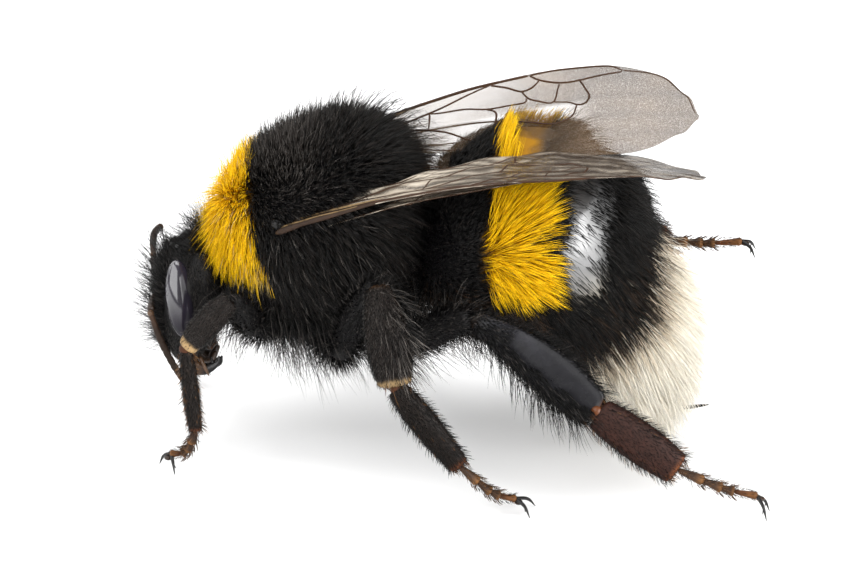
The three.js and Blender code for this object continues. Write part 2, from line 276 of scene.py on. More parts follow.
def make_piece(name, shape, material, slot, nodes=(), uv=None):
    """A piece of the bee: its mesh, material, body and the CAD nodes that it stands for; slot is not used.
    """
    mesh = bpy.data.meshes.new(name)
    corners = fill_mesh(mesh, to_frame(np.concatenate(shape.points)), shape.faces)
    tones = np.concatenate(shape.tones)
    paint(mesh, "tone", np.column_stack([tones, np.ones(len(tones))]))
    if uv is not None:
        layer = mesh.uv_layers.new(name="OFBake")
        layer.data.foreach_set("uv", np.asarray(uv, np.float32)[corners].ravel())
    mesh.materials.append(material)
    piece = put(name, mesh)
    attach(piece, "root")
    if nodes:
        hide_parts(*nodes)
    return piece


# ---- Materials -----------------------------------------------------------------------------------


class Look:
    """A material with a Principled shader and helpers to drive it."""

    def __init__(self, name, **sockets):
        self.material = bpy.data.materials.new(name)
        self.material.use_nodes = True
        self.tree = self.material.node_tree
        self.shader = self.tree.nodes["Principled BSDF"]
        for socket, value in sockets.items():
            self.shader.inputs[socket.replace("_", " ")].default_value = value
        self.place = self.node("ShaderNodeTexCoord").outputs["Object"]

    def node(self, kind, inputs=None, **settings):
        made = self.tree.nodes.new(kind)
        for key, value in settings.items():
            setattr(made, key, value)
        for key, value in (inputs or {}).items():
            if isinstance(value, bpy.types.NodeSocket):
                self.tree.links.new(value, made.inputs[key])
            else:
                made.inputs[key].default_value = value
        return made

    def noise(self, per_mm, detail=3.0, stretch=None):
        place = self.place
        if stretch:
            place = self.node("ShaderNodeMapping", {"Vector": place, "Scale": stretch}).outputs[0]
        inputs = {"Vector": place, "Scale": per_mm / MM, "Detail": detail}
        return self.node("ShaderNodeTexNoise", inputs).outputs["Fac"]

    def cells(self, per_mm):
        inputs = {"Vector": self.place, "Scale": per_mm / MM}
        return self.node("ShaderNodeTexVoronoi", inputs).outputs["Distance"]

    def painted(self, name):
        """What paint() stored by this name."""
        return self.node("ShaderNodeVertexColor", layer_name=name).outputs["Color"]

    def ramp(self, value, stops):
        made = self.node("ShaderNodeValToRGB", {"Fac": value})
        elements = made.color_ramp.elements
        while len(elements) < len(stops):
            elements.new(0.5)
        for element, (place, color) in zip(elements, stops):
            element.position = place
            element.color = (*color, 1)
        return made.outputs["Color"]

    def blend(self, a, b, fac, mode="MIX"):
        made = self.node("ShaderNodeMix", data_type="RGBA", blend_type=mode)
        for socket, value in ((made.inputs[0], fac), (made.inputs[6], a), (made.inputs[7], b)):
            if isinstance(value, bpy.types.NodeSocket):
                self.tree.links.new(value, socket)
            else:
                socket.default_value = value
        return made.outputs[2]

    def spread(self, value, low, high):
        """Maps a 0 to 1 value onto low to high."""
        inputs = {"Value": value, "To Min": low, "To Max": high}
        return self.node("ShaderNodeMapRange", inputs).outputs["Result"]

    def drive(self, socket, value):
        self.tree.links.new(value, self.shader.inputs[socket])
        return self

    def shade(self, value):
        """Colours the surface with its painted tone, made darker or lighter by the value."""
        return self.drive("Base Color", self.blend(self.painted("tone"), value, 1.0, "MULTIPLY"))

    def bump(self, height, depth_mm, strength=1.0):
        inputs = {"Height": height, "Distance": depth_mm * MM, "Strength": strength}
        return self.drive("Normal", self.node("ShaderNodeBump", inputs).outputs["Normal"])


def hair_look(name, roughness, specular):
    """Hair: the strand's own root and tip colours, slightly uneven from hair to hair."""
    look = Look(name, Roughness=roughness, Specular_IOR_Level=specular)
    uneven = look.spread(look.noise(9.0, detail=2.0), 0.78, 1.22)
    grey = look.node("ShaderNodeCombineColor", {"Red": uneven, "Green": uneven, "Blue": uneven})
    return look.shade(grey.outputs[0]).material


def shell_look(name, roughness, pits_per_mm, depth_mm, specular=0.4):
    """Horny shell: its painted tone, a fine grain of pits and worn patches in the gloss."""
    look = Look(name, Specular_IOR_Level=specular)
    patchy = look.ramp(look.noise(2.2), [(0.3, (0.72, 0.7, 0.68)), (0.7, (1.15, 1.12, 1.1))])
    look.shade(patchy).drive("Roughness", look.spread(look.noise(3.0), roughness * 0.75, roughness * 1.3))
    return look.bump(look.cells(pits_per_mm), depth_mm).material


def skin_look():
    """Dull pitted skin under the coat, but smooth and glossy where the polish attribute is 1."""
    look = Look("skin", IOR=1.8)
    look.drive("Base Color", look.painted("tone"))
    polish = look.painted("polish")
    grain = look.noise(3.0)
    dull, smooth = look.spread(grain, 0.5, 0.65), look.spread(grain, 0.25, 0.33)
    look.drive("Roughness", look.blend(dull, smooth, polish))
    look.drive("Specular IOR Level", look.spread(polish, 0.08, 1.0))
    return look.bump(look.blend(look.cells(11.0), look.cells(22.0), polish), 0.004).material


def eye_look():
    """Compound eye: near black under a clear polish, as strong as its gloss, with a net of tiny facets."""
    look = Look("eye_shell", Roughness=0.12, IOR=1.65, Coat_Roughness=0.07)
    gloss = look.painted("gloss")
    look.drive("Coat Weight", gloss)
    look.drive("Specular IOR Level", look.spread(gloss, 0.06, 0.5))
    tones = [(0.3, (0.009, 0.008, 0.011)), (0.75, (0.02, 0.017, 0.025))]
    look.drive("Base Color", look.ramp(look.noise(1.2), tones))
    return look.bump(look.cells(26.0), 0.0012, 0.5).material


def wing_look():
    """Wing membrane: smoky brown, pleated along its length.

    Its marks say where it is stippled with tiny hairs (red), where it is dense (green) and where it is
    clearest (blue).
    """
    look = Look("wing_membrane", Roughness=0.24, Specular_IOR_Level=0.4)
    stipple = look.cells(17.0)
    smoke = look.noise(0.5, detail=4.0)
    shade = look.ramp(smoke, [(0.25, (0.55, 0.52, 0.5)), (0.75, (1.3, 1.3, 1.3))])
    look.shade(shade)
    marks = look.node("ShaderNodeSeparateColor", {"Color": look.painted("marks")}).outputs
    veil = look.blend(look.spread(smoke, 0.22, 0.42), look.spread(stipple, 0.72, 0.4), marks["Red"])
    veil = look.blend(veil, (0.7, 0.7, 0.7, 1), marks["Green"])
    look.drive("Alpha", look.blend(veil, (0.12, 0.12, 0.12, 1), marks["Blue"]))
    pleats = look.noise(2.5, stretch=(0.12, 1.0, 1.0))
    return look.bump(look.blend(pleats, stipple, marks["Red"]), 0.03, 0.8).material


HAIR_LOOKS = {
    "black_coat": hair_look("hair_black", 0.34, 0.17),
    "yellow_coat": hair_look("hair_yellow", 0.45, 0.14),
    "white_coat": hair_look("hair_white", 0.5, 0.3),
}
SHELL = shell_look("shell_dark", 0.38, 14.0, 0.006)
GLOSS = shell_look("shell_polished", 0.26, 7.0, 0.002, 0.28)
RUST = shell_look("shell_rust", 0.5, 12.0, 0.006, 0.16)
LEG_SHELL = shell_look("shell_leg", 0.5, 12.0, 0.006, 0.17)
SKIN = skin_look()

# Colours are linear.
BLACK = np.array([0.006, 0.0055, 0.0055])
DARK_BROWN = np.array([0.022, 0.012, 0.007])
BROWN = np.array([0.10, 0.05, 0.022])
RED_BROWN = np.array([0.20, 0.065, 0.022])
ORANGE = np.array([0.50, 0.23, 0.075])
STRAW = np.array([0.62, 0.42, 0.20])
VEIN_BROWN = np.array([0.034, 0.013, 0.004])

# Each hair colour: at its root, at its tip, and the slot of its piece.
HAIR_COLORS = {
    "black": ((0.002, 0.002, 0.002), (0.006, 0.0055, 0.005), "black_coat"),
    "dusk": ((0.004, 0.004, 0.004), (0.022, 0.017, 0.014), "black_coat"),
    # grey and glint hairs are black with paler tips: painted sheen where light catches the black fur.
    "grey": ((0.008, 0.007, 0.007), (0.090, 0.080, 0.072), "black_coat"),
    "glint": ((0.016, 0.014, 0.013), (0.20, 0.18, 0.16), "black_coat"),
    "brown": ((0.010, 0.006, 0.004), (0.060, 0.036, 0.022), "black_coat"),
    "gold": ((0.04, 0.016, 0.006), (0.26, 0.12, 0.035), "black_coat"),
    "yellow": ((0.54, 0.25, 0.001), (0.85, 0.54, 0.003), "yellow_coat"),
    "tan": ((0.20, 0.11, 0.020), (0.62, 0.46, 0.18), "yellow_coat"),
    "cream": ((0.78, 0.70, 0.55), (0.78, 0.75, 0.67), "white_coat"),
    "dun": ((0.22, 0.15, 0.09), (0.72, 0.62, 0.48), "white_coat"),
}

# ---- Body plan -----------------------------------------------------------------------------------
# The skin under the coat.

THORAX = Loft(
    path=[(-8.35, 0, 8.85), (-5.6, 0, 9.0), (-2.9, 0, 9.2), (-0.2, 0, 9.3)],
    wide=[2.95, 3.42, 3.75, 3.7],
    up=[3.1, 3.6, 4.15, 4.15],
    down=[2.9, 3.3, 3.5, 3.4],
    caps=(0.5, 0.36),
)
BELLY = Loft(
    [(-8.2, 0, 6.7), (-5.0, 0, 6.2), (-1.2, 0, 6.1)], [1.2, 2.6, 2.5], [1.0, 1.2, 1.3], caps=(0.3, 0.3)
)
ABDOMEN = Loft(
    path=[
        (-0.2, 0, 8.05), (2.0, 0, 8.15), (4.3, 0, 9.35), (6.2, 0, 7.65), (7.95, 0, 5.75), (8.95, 0, 3.6),
        (9.3, 0, 1.9),
    ],
    wide=[2.6, 3.5, 4.15, 3.7, 2.6, 1.3, 0.5],
    up=[3.1, 3.45, 4.2, 3.5, 2.4, 1.25, 0.5],
    down=[1.9, 3.2, 4.2, 3.5, 2.5, 1.3, 0.5],
    caps=(0.16, 0.12),
)
HEAD = Loft(
    path=[(-9.3, 0, 8.3), (-9.5, 0, 7.1), (-9.55, 0, 5.8), (-9.5, 0, 4.5), (-9.35, 0, 3.2)],
    wide=[1.3, 2.3, 2.35, 1.72, 0.95],
    up=[0.7, 1.1, 1.15, 1.05, 0.6],
    down=[0.85, 1.25, 1.2, 0.9, 0.5],
    caps=(0.22, 0.12),
    back=(-1, 0, 0),
)
NECK = Loft([(-9.2, 0, 7.2), (-8.2, 0, 7.5), (-7.3, 0, 8.0)], [0.9, 0.9, 1.3], [0.8, 0.8, 1.2])
CHEEKS = {
    side: Loft(
        [(-8.85, side * 1.42, 4.6), (-8.78, side * 1.5, 6.5), (-8.8, side * 1.42, 8.3)],
        [0.72, 0.74, 0.7], [0.7, 0.74, 0.7], caps=(0.5, 0.5), back=(-1, 0, 0),
    )
    for side in (LEFT, RIGHT)
}
EYE = {"centre": (-9.58, 2.0, 6.5), "radii": (0.58, 0.53, 1.56), "turn": (-0.24, 0.13)}

# Each leg's points: its root, hip, knee, ankle and heel, the middle of its toe joints, and their end.
LEGS = {
    "front_left": np.array([
        (-6.2, -1.2, 5.6), (-6.6, -2.4, 5.6), (-7.24, -3.9, 7.35), (-9.1, -4.1, 5.2),
        (-8.7, -4.3, 1.75), (-9.1, -4.2, 0.85), (-9.75, -4.15, 0.66),
    ]),
    "mid_left": np.array([
        (-3.4, -1.6, 5.0), (-3.0, -2.8, 4.9), (-1.3, -5.2, 8.75), (-0.42, -6.75, 5.01),
        (2.21, -7.4, 2.02), (3.5, -7.35, 0.95), (4.4, -7.1, 0.62),
    ]),
    "hind_left": np.array([
        (-1.2, -1.6, 5.4), (-0.6, -2.8, 5.2), (2.4, -4.7, 7.27), (7.48, -5.9, 3.97),
        (10.73, -6.3, 1.8), (12.6, -6.35, 1.1), (13.9, -6.35, 0.85),
    ]),
    "front_right": np.array([
        (-6.2, 1.2, 5.6), (-6.6, 2.4, 5.6), (-7.3, 3.9, 7.3), (-9.2, 4.2, 5.0),
        (-9.25, 4.35, 1.75), (-9.5, 4.6, 0.9), (-9.7, 5.0, 0.66),
    ]),
    "mid_right": np.array([
        (-3.4, 1.6, 5.0), (-3.0, 2.8, 4.9), (-1.9, 5.2, 8.6), (-1.9, 6.7, 5.0),
        (-2.3, 7.2, 1.9), (-2.45, 7.7, 0.95), (-2.6, 8.4, 0.62),
    ]),
    "hind_right": np.array([
        (-1.2, 1.6, 5.4), (-0.6, 2.8, 5.2), (2.0, 5.3, 7.3), (6.3, 6.1, 7.15),
        (9.35, 5.3, 6.9), (10.9, 5.15, 6.9), (12.4, 5.1, 7.05),
    ]),
}
# Where the tips of each foot's two claws are.
TOES = {
    "front_left": [(-10.25, -3.7, 0), (-9.5, -4.75, 0)],
    "mid_left": [(5.1, -6.35, 0), (5.0, -7.6, 0)],
    "hind_left": [(14.35, -5.9, 0), (14.3, -6.9, 0)],
    "front_right": [(-10.2, 5.35, 0), (-9.4, 5.7, 0)],
    "mid_right": [(-3.1, 8.95, 0), (-2.1, 9.1, 0)],
    "hind_right": [(12.95, 4.65, 6.5), (12.9, 5.65, 6.5)],
}
# Half widths of the bare segments at even steps along them, and their thickness as a share of that.
SEGMENTS = {
    "front": {
        "coxa": ([0.72, 0.75, 0.55], 1),
        "femur": ([0.36, 0.52, 0.46, 0.36], 0.85),
        "tibia": ([0.36, 0.53, 0.54, 0.36], 0.75),
        "basitarsus": ([0.26, 0.32, 0.32, 0.27], 0.75),
    },
    "mid": {
        "coxa": ([0.8, 0.8, 0.6], 1),
        "femur": ([0.42, 0.62, 0.56, 0.42], 0.8),
        "tibia": ([0.46, 0.76, 0.86, 0.66], 0.6),
        "basitarsus": ([0.42, 0.55, 0.52, 0.4], 0.5),
    },
    "hind": {
        "coxa": ([0.85, 0.85, 0.7], 1),
        "femur": ([0.45, 0.72, 0.62, 0.45], 0.7),
        "tibia": ([0.36, 0.66, 0.88, 0.95, 0.7], 0.36),
        "basitarsus": ([0.66, 0.8, 0.8, 0.66], 0.36),
    },
}
SEGMENT_ORDER = ["coxa", "femur", "tibia", "basitarsus"]
BOW = 0.035  # how far a femur or tibia arches up, as a share of its length


def side_of(leg):
    return LEFT if leg.endswith("left") else RIGHT


def kind_of(leg):
    return leg.split("_")[0]


def segment(leg, name):
    """The loft of one bare leg segment."""
    index = SEGMENT_ORDER.index(name)
    start, end = LEGS[leg][index : index + 2]
    radii, thick = SEGMENTS[kind_of(leg)][name]
    middle = (start + end) / 2
    if name in ("femur", "tibia"):
        middle = middle + np.array([0, 0, BOW * np.linalg.norm(end - start)])
    back = (0, 0, 1) if name == "coxa" else (0, side_of(leg), 0.25)
    radii = np.array(radii)
    caps = {"coxa": (0.3, 0.3), "basitarsus": (0.05, 0.03)}.get(name, (0.07, 0.05))
    return Loft([start, middle, end], radii, radii * thick, caps=caps, back=back)


LEG_LOFTS = {leg: {name: segment(leg, name) for name in SEGMENT_ORDER} for leg in LEGS}

# ---- Markings ------------------------------------------------------------------------------------
# Each is a share from 0 to 1 at points on the body. Fronts and rears are places along X.

COLLAR_REAR = -6.4
BAND_FRONT, BAND_REAR = 2.75, 5.15
PARTING_HEIGHT, PARTING_WIDTH = 10.3, 0.36  # of the dark wedge in the yellow band on either side
BALD_FRONT, BALD_REAR = 5.9, 7.4
TAIL_FRONT, TAIL_SOFT = 0.56, 0.035  # shares of the abdomen's length


def collar_share(points, soft=0.25):
    """The yellow collar across the front of the thorax."""
    x, _, z = points.T
    rear = COLLAR_REAR - 0.24 * (z - 9.4) + 0.3 * step(9.3, 8.3, z)
    return step(soft, -soft, x - rear) * step(7.9, 8.4, z)


def yellow_band_share(points, soft=0.25):
    """The yellow band across the abdomen, with its parting."""
    x, y, z = points.T
    front = BAND_FRONT + 0.1 * np.minimum(np.abs(z - 9.5), 1.5) ** 2
    rear = BAND_REAR - 0.4 * step(11.0, 13.0, z)
    parting = 0.85 * np.exp(-(((z - PARTING_HEIGHT) / PARTING_WIDTH) ** 2))
    parting = parting * step(4.0, 4.7, x) * step(2.0, 3.0, np.abs(y))
    share = step(-soft, soft, x - front) * step(soft, -soft, x - rear) * step(8.0, 8.5, z)
    return share * (1 - parting)


def bald_share(points, soft=0.2):
    """Where the third plate of the back shows its polish between few hairs."""
    x, _, z = points.T
    edge = 0.2 * ripple(points, 1.2, 61)
    behind_front = step(-soft, soft, x - BALD_FRONT - edge)
    before_rear = step(2 * soft, -2 * soft, x - BALD_REAR - edge)
    return behind_front * before_rear * step(7.2, 8.5, z)


def tail_share(t, a):
    """How white the abdomen is, from its own share t along and angle a round it."""
    front = TAIL_FRONT + 0.09 * step(0.0, 1.2, np.abs(a))
    return step(front - TAIL_SOFT, front + TAIL_SOFT, t)


# ---- Skin ----------------------------------------------------------------------------------------

VOXEL = 0.115  # the size of the cells that join the parts into one skin
BODY_GRIDS = ((THORAX, 40, 64), (ABDOMEN, 40, 64), (HEAD, 32, 48), (NECK, 12, 24), (BELLY, 24, 32))


def skin_parts():
    shape = Shape()
    for loft, steps, sides in BODY_GRIDS:
        shape.add(loft.surface(steps, sides))
    shape.add(ball((-10.3, 0, 4.95), (0.5, 1.15, 0.95)))  # clypeus
    shape.add(ball((-10.0, 0, 3.75), (0.4, 0.75, 0.4)))  # labrum
    for side in SIDES.values():
        shape.add(ball((-10.42, side * 0.6, 6.08), (0.28, 0.3, 0.3)))  # antennal socket
        shape.add(CHEEKS[side].surface(24, 24))
        shape.add(ball((-9.5, side * 1.15, 4.2), (0.55, 0.5, 0.8)))  # cheek below the eye
    for leg, lofts in LEG_LOFTS.items():
        shape.add(lofts["coxa"].surface(10, 20))
        shape.add(lofts["femur"].surface(16, 20))
        shape.add(ball(LEGS[leg][1], (0.45, 0.42, 0.45)))  # hip
    return shape


def one_surface(shape):
    """The shape's parts joined into one closed skin, as points and faces."""
    mesh = bpy.data.meshes.new("skin_parts")
    fill_mesh(mesh, np.concatenate(shape.points), shape.faces)
    holder = put("skin_parts", mesh)
    remesh = holder.modifiers.new("join", "REMESH")
    remesh.mode = "VOXEL"
    remesh.voxel_size = VOXEL
    smooth = holder.modifiers.new("soften", "SMOOTH")
    smooth.iterations = 3
    smooth.factor = 0.5
    graph = bpy.context.evaluated_depsgraph_get()
    joined = bpy.data.meshes.new_from_object(holder.evaluated_get(graph))
    points = np.zeros(len(joined.vertices) * 3, np.float32)
    joined.vertices.foreach_get("co", points)
    corners = np.zeros(len(joined.loops), np.int32)
    joined.loops.foreach_get("vertex_index", corners)
    bpy.data.objects.remove(holder)
    return points.reshape(-1, 3).astype(float), corners.reshape(-1, 4)


def skin_tone(points):
    """Black, but yellow under the two bands and cream under the tail."""
    tone = np.tile(BLACK, (len(points), 1))
    x, y, z = points.T
    on_thorax = (x > -8.6) & (x < 0.5)
    yellow, cream = (np.array(HAIR_COLORS[name][0]) for name in ("yellow", "cream"))
    tone = mix(tone, yellow * 0.5, collar_share(points) * on_thorax)
    tone = mix(tone, yellow * 0.5, yellow_band_share(points))
    lower = step(9.4, 6.2, z) * step(5.5, 8.0, x) * (np.abs(y) < 4.0)
    return mix(tone, cream * 0.8, lower)


skin_points, skin_quads = one_surface(skin_parts())
skin_shape = Shape().add((skin_points, [skin_quads]), skin_tone(skin_points))
flesh = ["head", "thorax_collar", "thorax", "abdomen_front", "abdomen_middle", "abdomen_tail"]
flesh += [f"{name}_{leg}" for leg in LEGS for name in ("coxa", "femur")]
skin = make_piece("skin", skin_shape, SKIN, "black_coat", flesh)
paint(skin.data, "polish", np.repeat(bald_share(skin_points, 0.4), 4))
skin_tree = BVHTree.FromPolygons([tuple(p) for p in skin_points], [tuple(q) for q in skin_quads])

# ---- Head pieces ---------------------------------------------------------------------------------


def eye_shape(side):
    x, y, z = EYE["centre"]
    roll, pitch = EYE["turn"]
    return Shape().add(ball((x, side * y, z), EYE["radii"], 40, 48, (side * -roll, -pitch, 0)), BLACK)


def polish_eye(piece, points):
    """Glossiest on the upper half; the lower half is dulled as painted shade on its reflection, and so is
    the rear edge, where the fur shuts out the light.
    """
    x, _, z = EYE["centre"]
    up = (points[:, 2] - z) / EYE["radii"][2]
    back = (points[:, 0] - x + EYE["turn"][1] * (points[:, 2] - z)) / EYE["radii"][0]
    gloss = (1 - 0.93 * step(0.25, -0.65, up)) * (1 - 0.96 * step(0.1, 0.38, back))
    paint(piece.data, "gloss", np.repeat(gloss, 4))


EYE_LOOK = eye_look()
for word, side in SIDES.items():
    shape = eye_shape(side)
    piece = make_piece(f"compound_eye_{word}", shape, EYE_LOOK, "eye", [f"eye_{word}"])
    polish_eye(piece, shape.points[0])

ocelli = Shape()
for place in ((-10.12, 0, 7.97), (-9.85, 0.5, 8.08), (-9.85, -0.5, 8.08)):
    ocelli.add(ball(place, (0.15, 0.15, 0.15), 10, 14), BLACK * 0.6)
make_piece("ocelli", ocelli, GLOSS, "eye")

ANTENNAE = {
    LEFT: {
        "scape": [(-10.4, -0.6, 6.1), (-10.75, -1.15, 6.2), (-10.8, -1.85, 5.85)],
        "flagellum": [(-10.78, -1.92, 5.78), (-10.35, -2.2, 4.75), (-9.8, -2.4, 3.75), (-9.35, -2.3, 3.0)],
    },
    RIGHT: {
        "scape": [(-10.45, 0.62, 5.95), (-10.95, 1.1, 6.2), (-11.15, 1.7, 6.75)],
        "flagellum": [(-11.15, 1.78, 6.82), (-11.3, 2.8, 7.0), (-11.35, 3.8, 7.0), (-11.25, 4.8, 6.85)],
    },
}
FLAGELLUM_JOINTS = 11


def flagellum_shape(path):
    """A stem of eleven short joints, each a little wider at its far end, with fine grooves between."""
    joint = np.linspace(0, FLAGELLUM_JOINTS, FLAGELLUM_JOINTS * 6 + 1)
    share = joint % 1.0
    wide = 0.108 + 0.036 * step(0, 3, joint)
    groove = 1 - 0.16 * np.exp(-((np.minimum(share, 1 - share) / 0.12) ** 2))
    points = spline(np.array(path), joint / FLAGELLUM_JOINTS)
    radii = wide * groove * (0.97 + 0.06 * share)
    stem = Loft(points, radii, radii, caps=(0.01, 0.05))
    points, faces = stem.surface(110, 16)
    along = np.linalg.norm(points - path[0], axis=1) / np.linalg.norm(np.array(path[-1]) - path[0])
    tone = mix(DARK_BROWN * 2.4, DARK_BROWN * 0.8, step(0.0, 0.25, along))
    return Shape().add((points, faces), mix(tone, BROWN * 0.8, step(0.75, 1.0, along)))


for word, side in SIDES.items():
    antenna = ANTENNAE[side]
    scape = Shape().add(tube(antenna["scape"], [0.13, 0.12, 0.13, 0.17], steps=14, sides=14), DARK_BROWN)
    scape.add(ball(antenna["flagellum"][0], (0.14, 0.14, 0.14), 10, 14), BROWN * 0.8)  # elbow
    make_piece(f"scape_{word}", scape, SHELL, "brown_shell", [f"antenna_scape_{word}"])
    flagellum = flagellum_shape(antenna["flagellum"])
    make_piece(f"flagellum_{word}", flagellum, RUST, "brown_shell", [f"antenna_flagellum_{word}"])

# The mouth's parts on the right side, and the sting.
JAW_PATH = [
    (-9.35, 1.05, 3.75), (-9.3, 0.98, 3.25), (-8.85, 0.74, 2.95), (-8.4, 0.52, 3.1), (-8.22, 0.44, 3.45),
]
JAW_DROP = {"left": 0.0, "right": 0.35}  # the jaws are a little apart
SHEATH_PATH = [(-9.3, 0.42, 3.7), (-8.95, 0.4, 3.2), (-8.6, 0.34, 3.2), (-8.35, 0.3, 3.6)]
PALP_PATH = [(-9.0, 0.75, 3.5), (-8.75, 0.85, 3.05), (-8.6, 0.8, 2.7)]
STING_PATH = [(9.2, 0, 1.95), (10.4, 0, 1.84), (11.5, 0, 2.0)]


def on_side(path, side):
    """The path on the left or the right of the bee."""
    return np.array(path) * (1, side, 1)


def jaw_shape(side, drop):
    """A stout curved jaw with a hooked, toothed tip."""
    path = on_side(JAW_PATH, side)
    path[:, 2] -= drop * step(-9.3, -8.6, path[:, 0])
    radii = [0.22, 0.3, 0.26, 0.16, 0.03]
    shape = Shape().add(tube(path, radii, 0.6, back=(0, side, 0), steps=26, sides=16))
    tooth = [path[3] + (-0.1, 0, 0.05), path[3] + (-0.16, side * -0.04, 0.34)]
    shape.add(tube(tooth, [0.11, 0.02], steps=8, sides=10))
    points = np.concatenate(shape.points)
    shape.tones = [mix(BROWN * 0.8, BLACK, step(-9.2, -8.7, points[:, 0]))]
    return shape


def tongue_shape():
    """The folded tongue between the jaws, in its two sheaths."""
    shape = Shape()
    for side in (LEFT, RIGHT):
        sheath = on_side(SHEATH_PATH, side)
        shape.add(tube(sheath, [0.24, 0.27, 0.24, 0.14], 0.7, steps=20, sides=14), DARK_BROWN * 1.3)
        palp = on_side(PALP_PATH, side)
        shape.add(tube(palp, [0.09, 0.075, 0.03], steps=12, sides=10), BROWN * 0.7)
    return shape


for word, side in SIDES.items():
    make_piece(f"jaw_{word}", jaw_shape(side, JAW_DROP[word]), GLOSS, "shell", [f"mandible_{word}"])
make_piece("tongue", tongue_shape(), SHELL, "brown_shell")

sting = Shape().add(tube(STING_PATH, [0.1, 0.095, 0.085, 0.03], caps=(0.05, 0.1)), BLACK)
make_piece("stinger", sting, GLOSS, "shell", ["sting"])

# ---- Leg pieces ----------------------------------------------------------------------------------

TARSOMERES = [(0.0, 0.26), (0.26, 0.46), (0.46, 0.62), (0.62, 1.0)]  # shares of the way from heel to claws
TARSUS_TONES = {"front": DARK_BROWN * 1.6, "mid": DARK_BROWN * 1.6, "hind": DARK_BROWN * 1.9}
SPINE_RADIUS = 0.017
# The tone of a shin's lower end, and the share of its length where that starts.
SHIN_ENDS = {"front": (STRAW * 0.45, 0.85), "mid": (STRAW * 0.32, 0.91), "hind": (RED_BROWN * 0.4, 0.97)}


def share_between(points, start, end):
    """How far along the way from start to end the points are, from 0 to 1."""
    way = end - start
    return np.clip((points - start) @ way / np.sum(way**2), 0, 1)


def shin_tone(leg, points):
    """Dark, with faint paler bands of painted sheen along the pollen basket, and pale brown at the knee and
    the ankle.
    """
    kind = kind_of(leg)
    knee, ankle = LEGS[leg][2:4]
    along = unit(ankle - knee)
    reach = (points - knee) @ along
    share = reach / np.linalg.norm(ankle - knee)
    across = (points - knee) @ unit(np.cross(along, (0.0, 1.0, 0.0)))
    grain = stack(reach * 0.35 - across, across * 2.5, 0)
    sheen_streak = step(0.2, 1.2, ripple(grain, 2.2, 91))
    dull = np.array([0.009, 0.009, 0.011]) if kind == "hind" else DARK_BROWN * 0.3
    # Painted sheen: faint paler bands of reflection along the hind shin's pollen basket.
    tone = mix(dull, (0.03, 0.03, 0.037), 0.9 * sheen_streak * (kind == "hind"))
    tone = mix(tone, BROWN * {"front": 0.05, "mid": 0.45, "hind": 0.45}[kind], step(0.06, 0.0, share))
    end_tone, start = SHIN_ENDS[kind]
    return mix(tone, end_tone, step(start, start + 0.05, share))


def foot_tone(leg, points):
    share = share_between(points, *LEGS[leg][3:5])
    base = np.array([0.022, 0.0065, 0.0035]) if kind_of(leg) == "hind" else DARK_BROWN * 0.35
    return mix(base, RED_BROWN * 0.7, step(0.93, 1.0, share))


def tarsus_path(leg, start, end):
    return spline(LEGS[leg][4:], np.linspace(start, end, 5))


def spine(root, way, length):
    """A stiff pointed bristle."""
    bend = root + way * length * 0.5 + np.array([0, 0, -0.02])
    radii = [SPINE_RADIUS, SPINE_RADIUS * 0.8, 0.004]
    return tube([root, bend, root + way * length], radii, steps=5, sides=6)


def add_spines(shape, tone, centre, along, radius, count, length, spread=0.55):
    """Adds spines round the end of a joint, pointing on and out."""
    side = unit(np.cross(along, (0.0, 0.0, 1.0)))
    up = np.cross(side, along)
    for k in range(count):
        angle = TAU * (k + 0.35 * math.sin(3 * k)) / count
        out = side * math.cos(angle) + up * math.sin(angle)
        own_length = length * (0.8 + 0.3 * math.sin(5 * k) ** 2)
        shape.add(spine(centre + out * radius * 0.85, unit(along + out * spread), own_length), tone)


def basket(loft, surface):
    """Hollows a shin's outer face a little, with a raised rim, as the pollen basket is."""
    points, faces = surface
    outward = unit(loft.back)
    t = share_between(points, loft.path[0], loft.path[-1])
    proud = (points - spline(loft.path, t)) @ outward
    inside_rim = step(0.25, 0.9, proud / np.maximum(spline(loft.up, t), 0.01))
    depth = 0.8 * np.maximum(proud, 0) * inside_rim * step(0.1, 0.3, t)
    return points - outward * depth[:, None], faces


def toe_shape(leg):
    """Three cups that flare to spiny ends, then a long slim last joint."""
    shape = Shape()
    dark = TARSUS_TONES[kind_of(leg)]
    for index, (start, end) in enumerate(TARSOMERES):
        last = index == len(TARSOMERES) - 1
        radii = [0.1, 0.13, 0.16, 0.21] if last else [0.12, 0.17, 0.22, 0.27]
        path = tarsus_path(leg, start, end + (0 if last else 0.012))
        joint = tube(path, radii, 0.85, caps=(0.1, 0.14), steps=18, sides=16)
        share = share_between(joint[0], path[0], path[-1])
        glow = 0.6 * step(0.0, 1.0, share) if last else step(0.6, 1.0, share)
        shape.add(joint, mix(RED_BROWN * 0.35 if last else dark, ORANGE * 0.28, glow))
        if not last:
            along = unit(path[-1] - path[-2])
            for back, count, length in ((0.07, 15, 0.3), (0.22, 9, 0.24)):
                add_spines(shape, BROWN * 0.5, path[-1] - along * back, along, radii[-1], count, length)
    return shape


def claw_shape(leg):
    """Two claws, each with a small barb inside its bend, and the pad between them."""
    shape = Shape()
    heel, _, end = LEGS[leg][4:]
    along = unit(end - heel)
    for toe in TOES[leg]:
        tip = np.array(toe, float)
        crest = end + (tip - end) * 0.6 + np.array([0, 0, 0.2])
        tip[2] += 0.02
        hook = [end - along * 0.05, crest, tip]
        shape.add(tube(hook, [0.08, 0.066, 0.014], caps=(0.1, 0.02), steps=18, sides=12), BLACK)
        inner = crest + (tip - crest) * 0.15
        barb = inner + (tip - inner) * 0.55 + along * -0.12
        shape.add(tube([crest - [0, 0, 0.03], inner, barb], [0.05, 0.045, 0.01], steps=8, sides=8), BLACK)
    shape.add(ball(end + along * 0.12 + np.array([0, 0, -0.08]), (0.17, 0.17, 0.1), 10, 14), DARK_BROWN)
    return shape


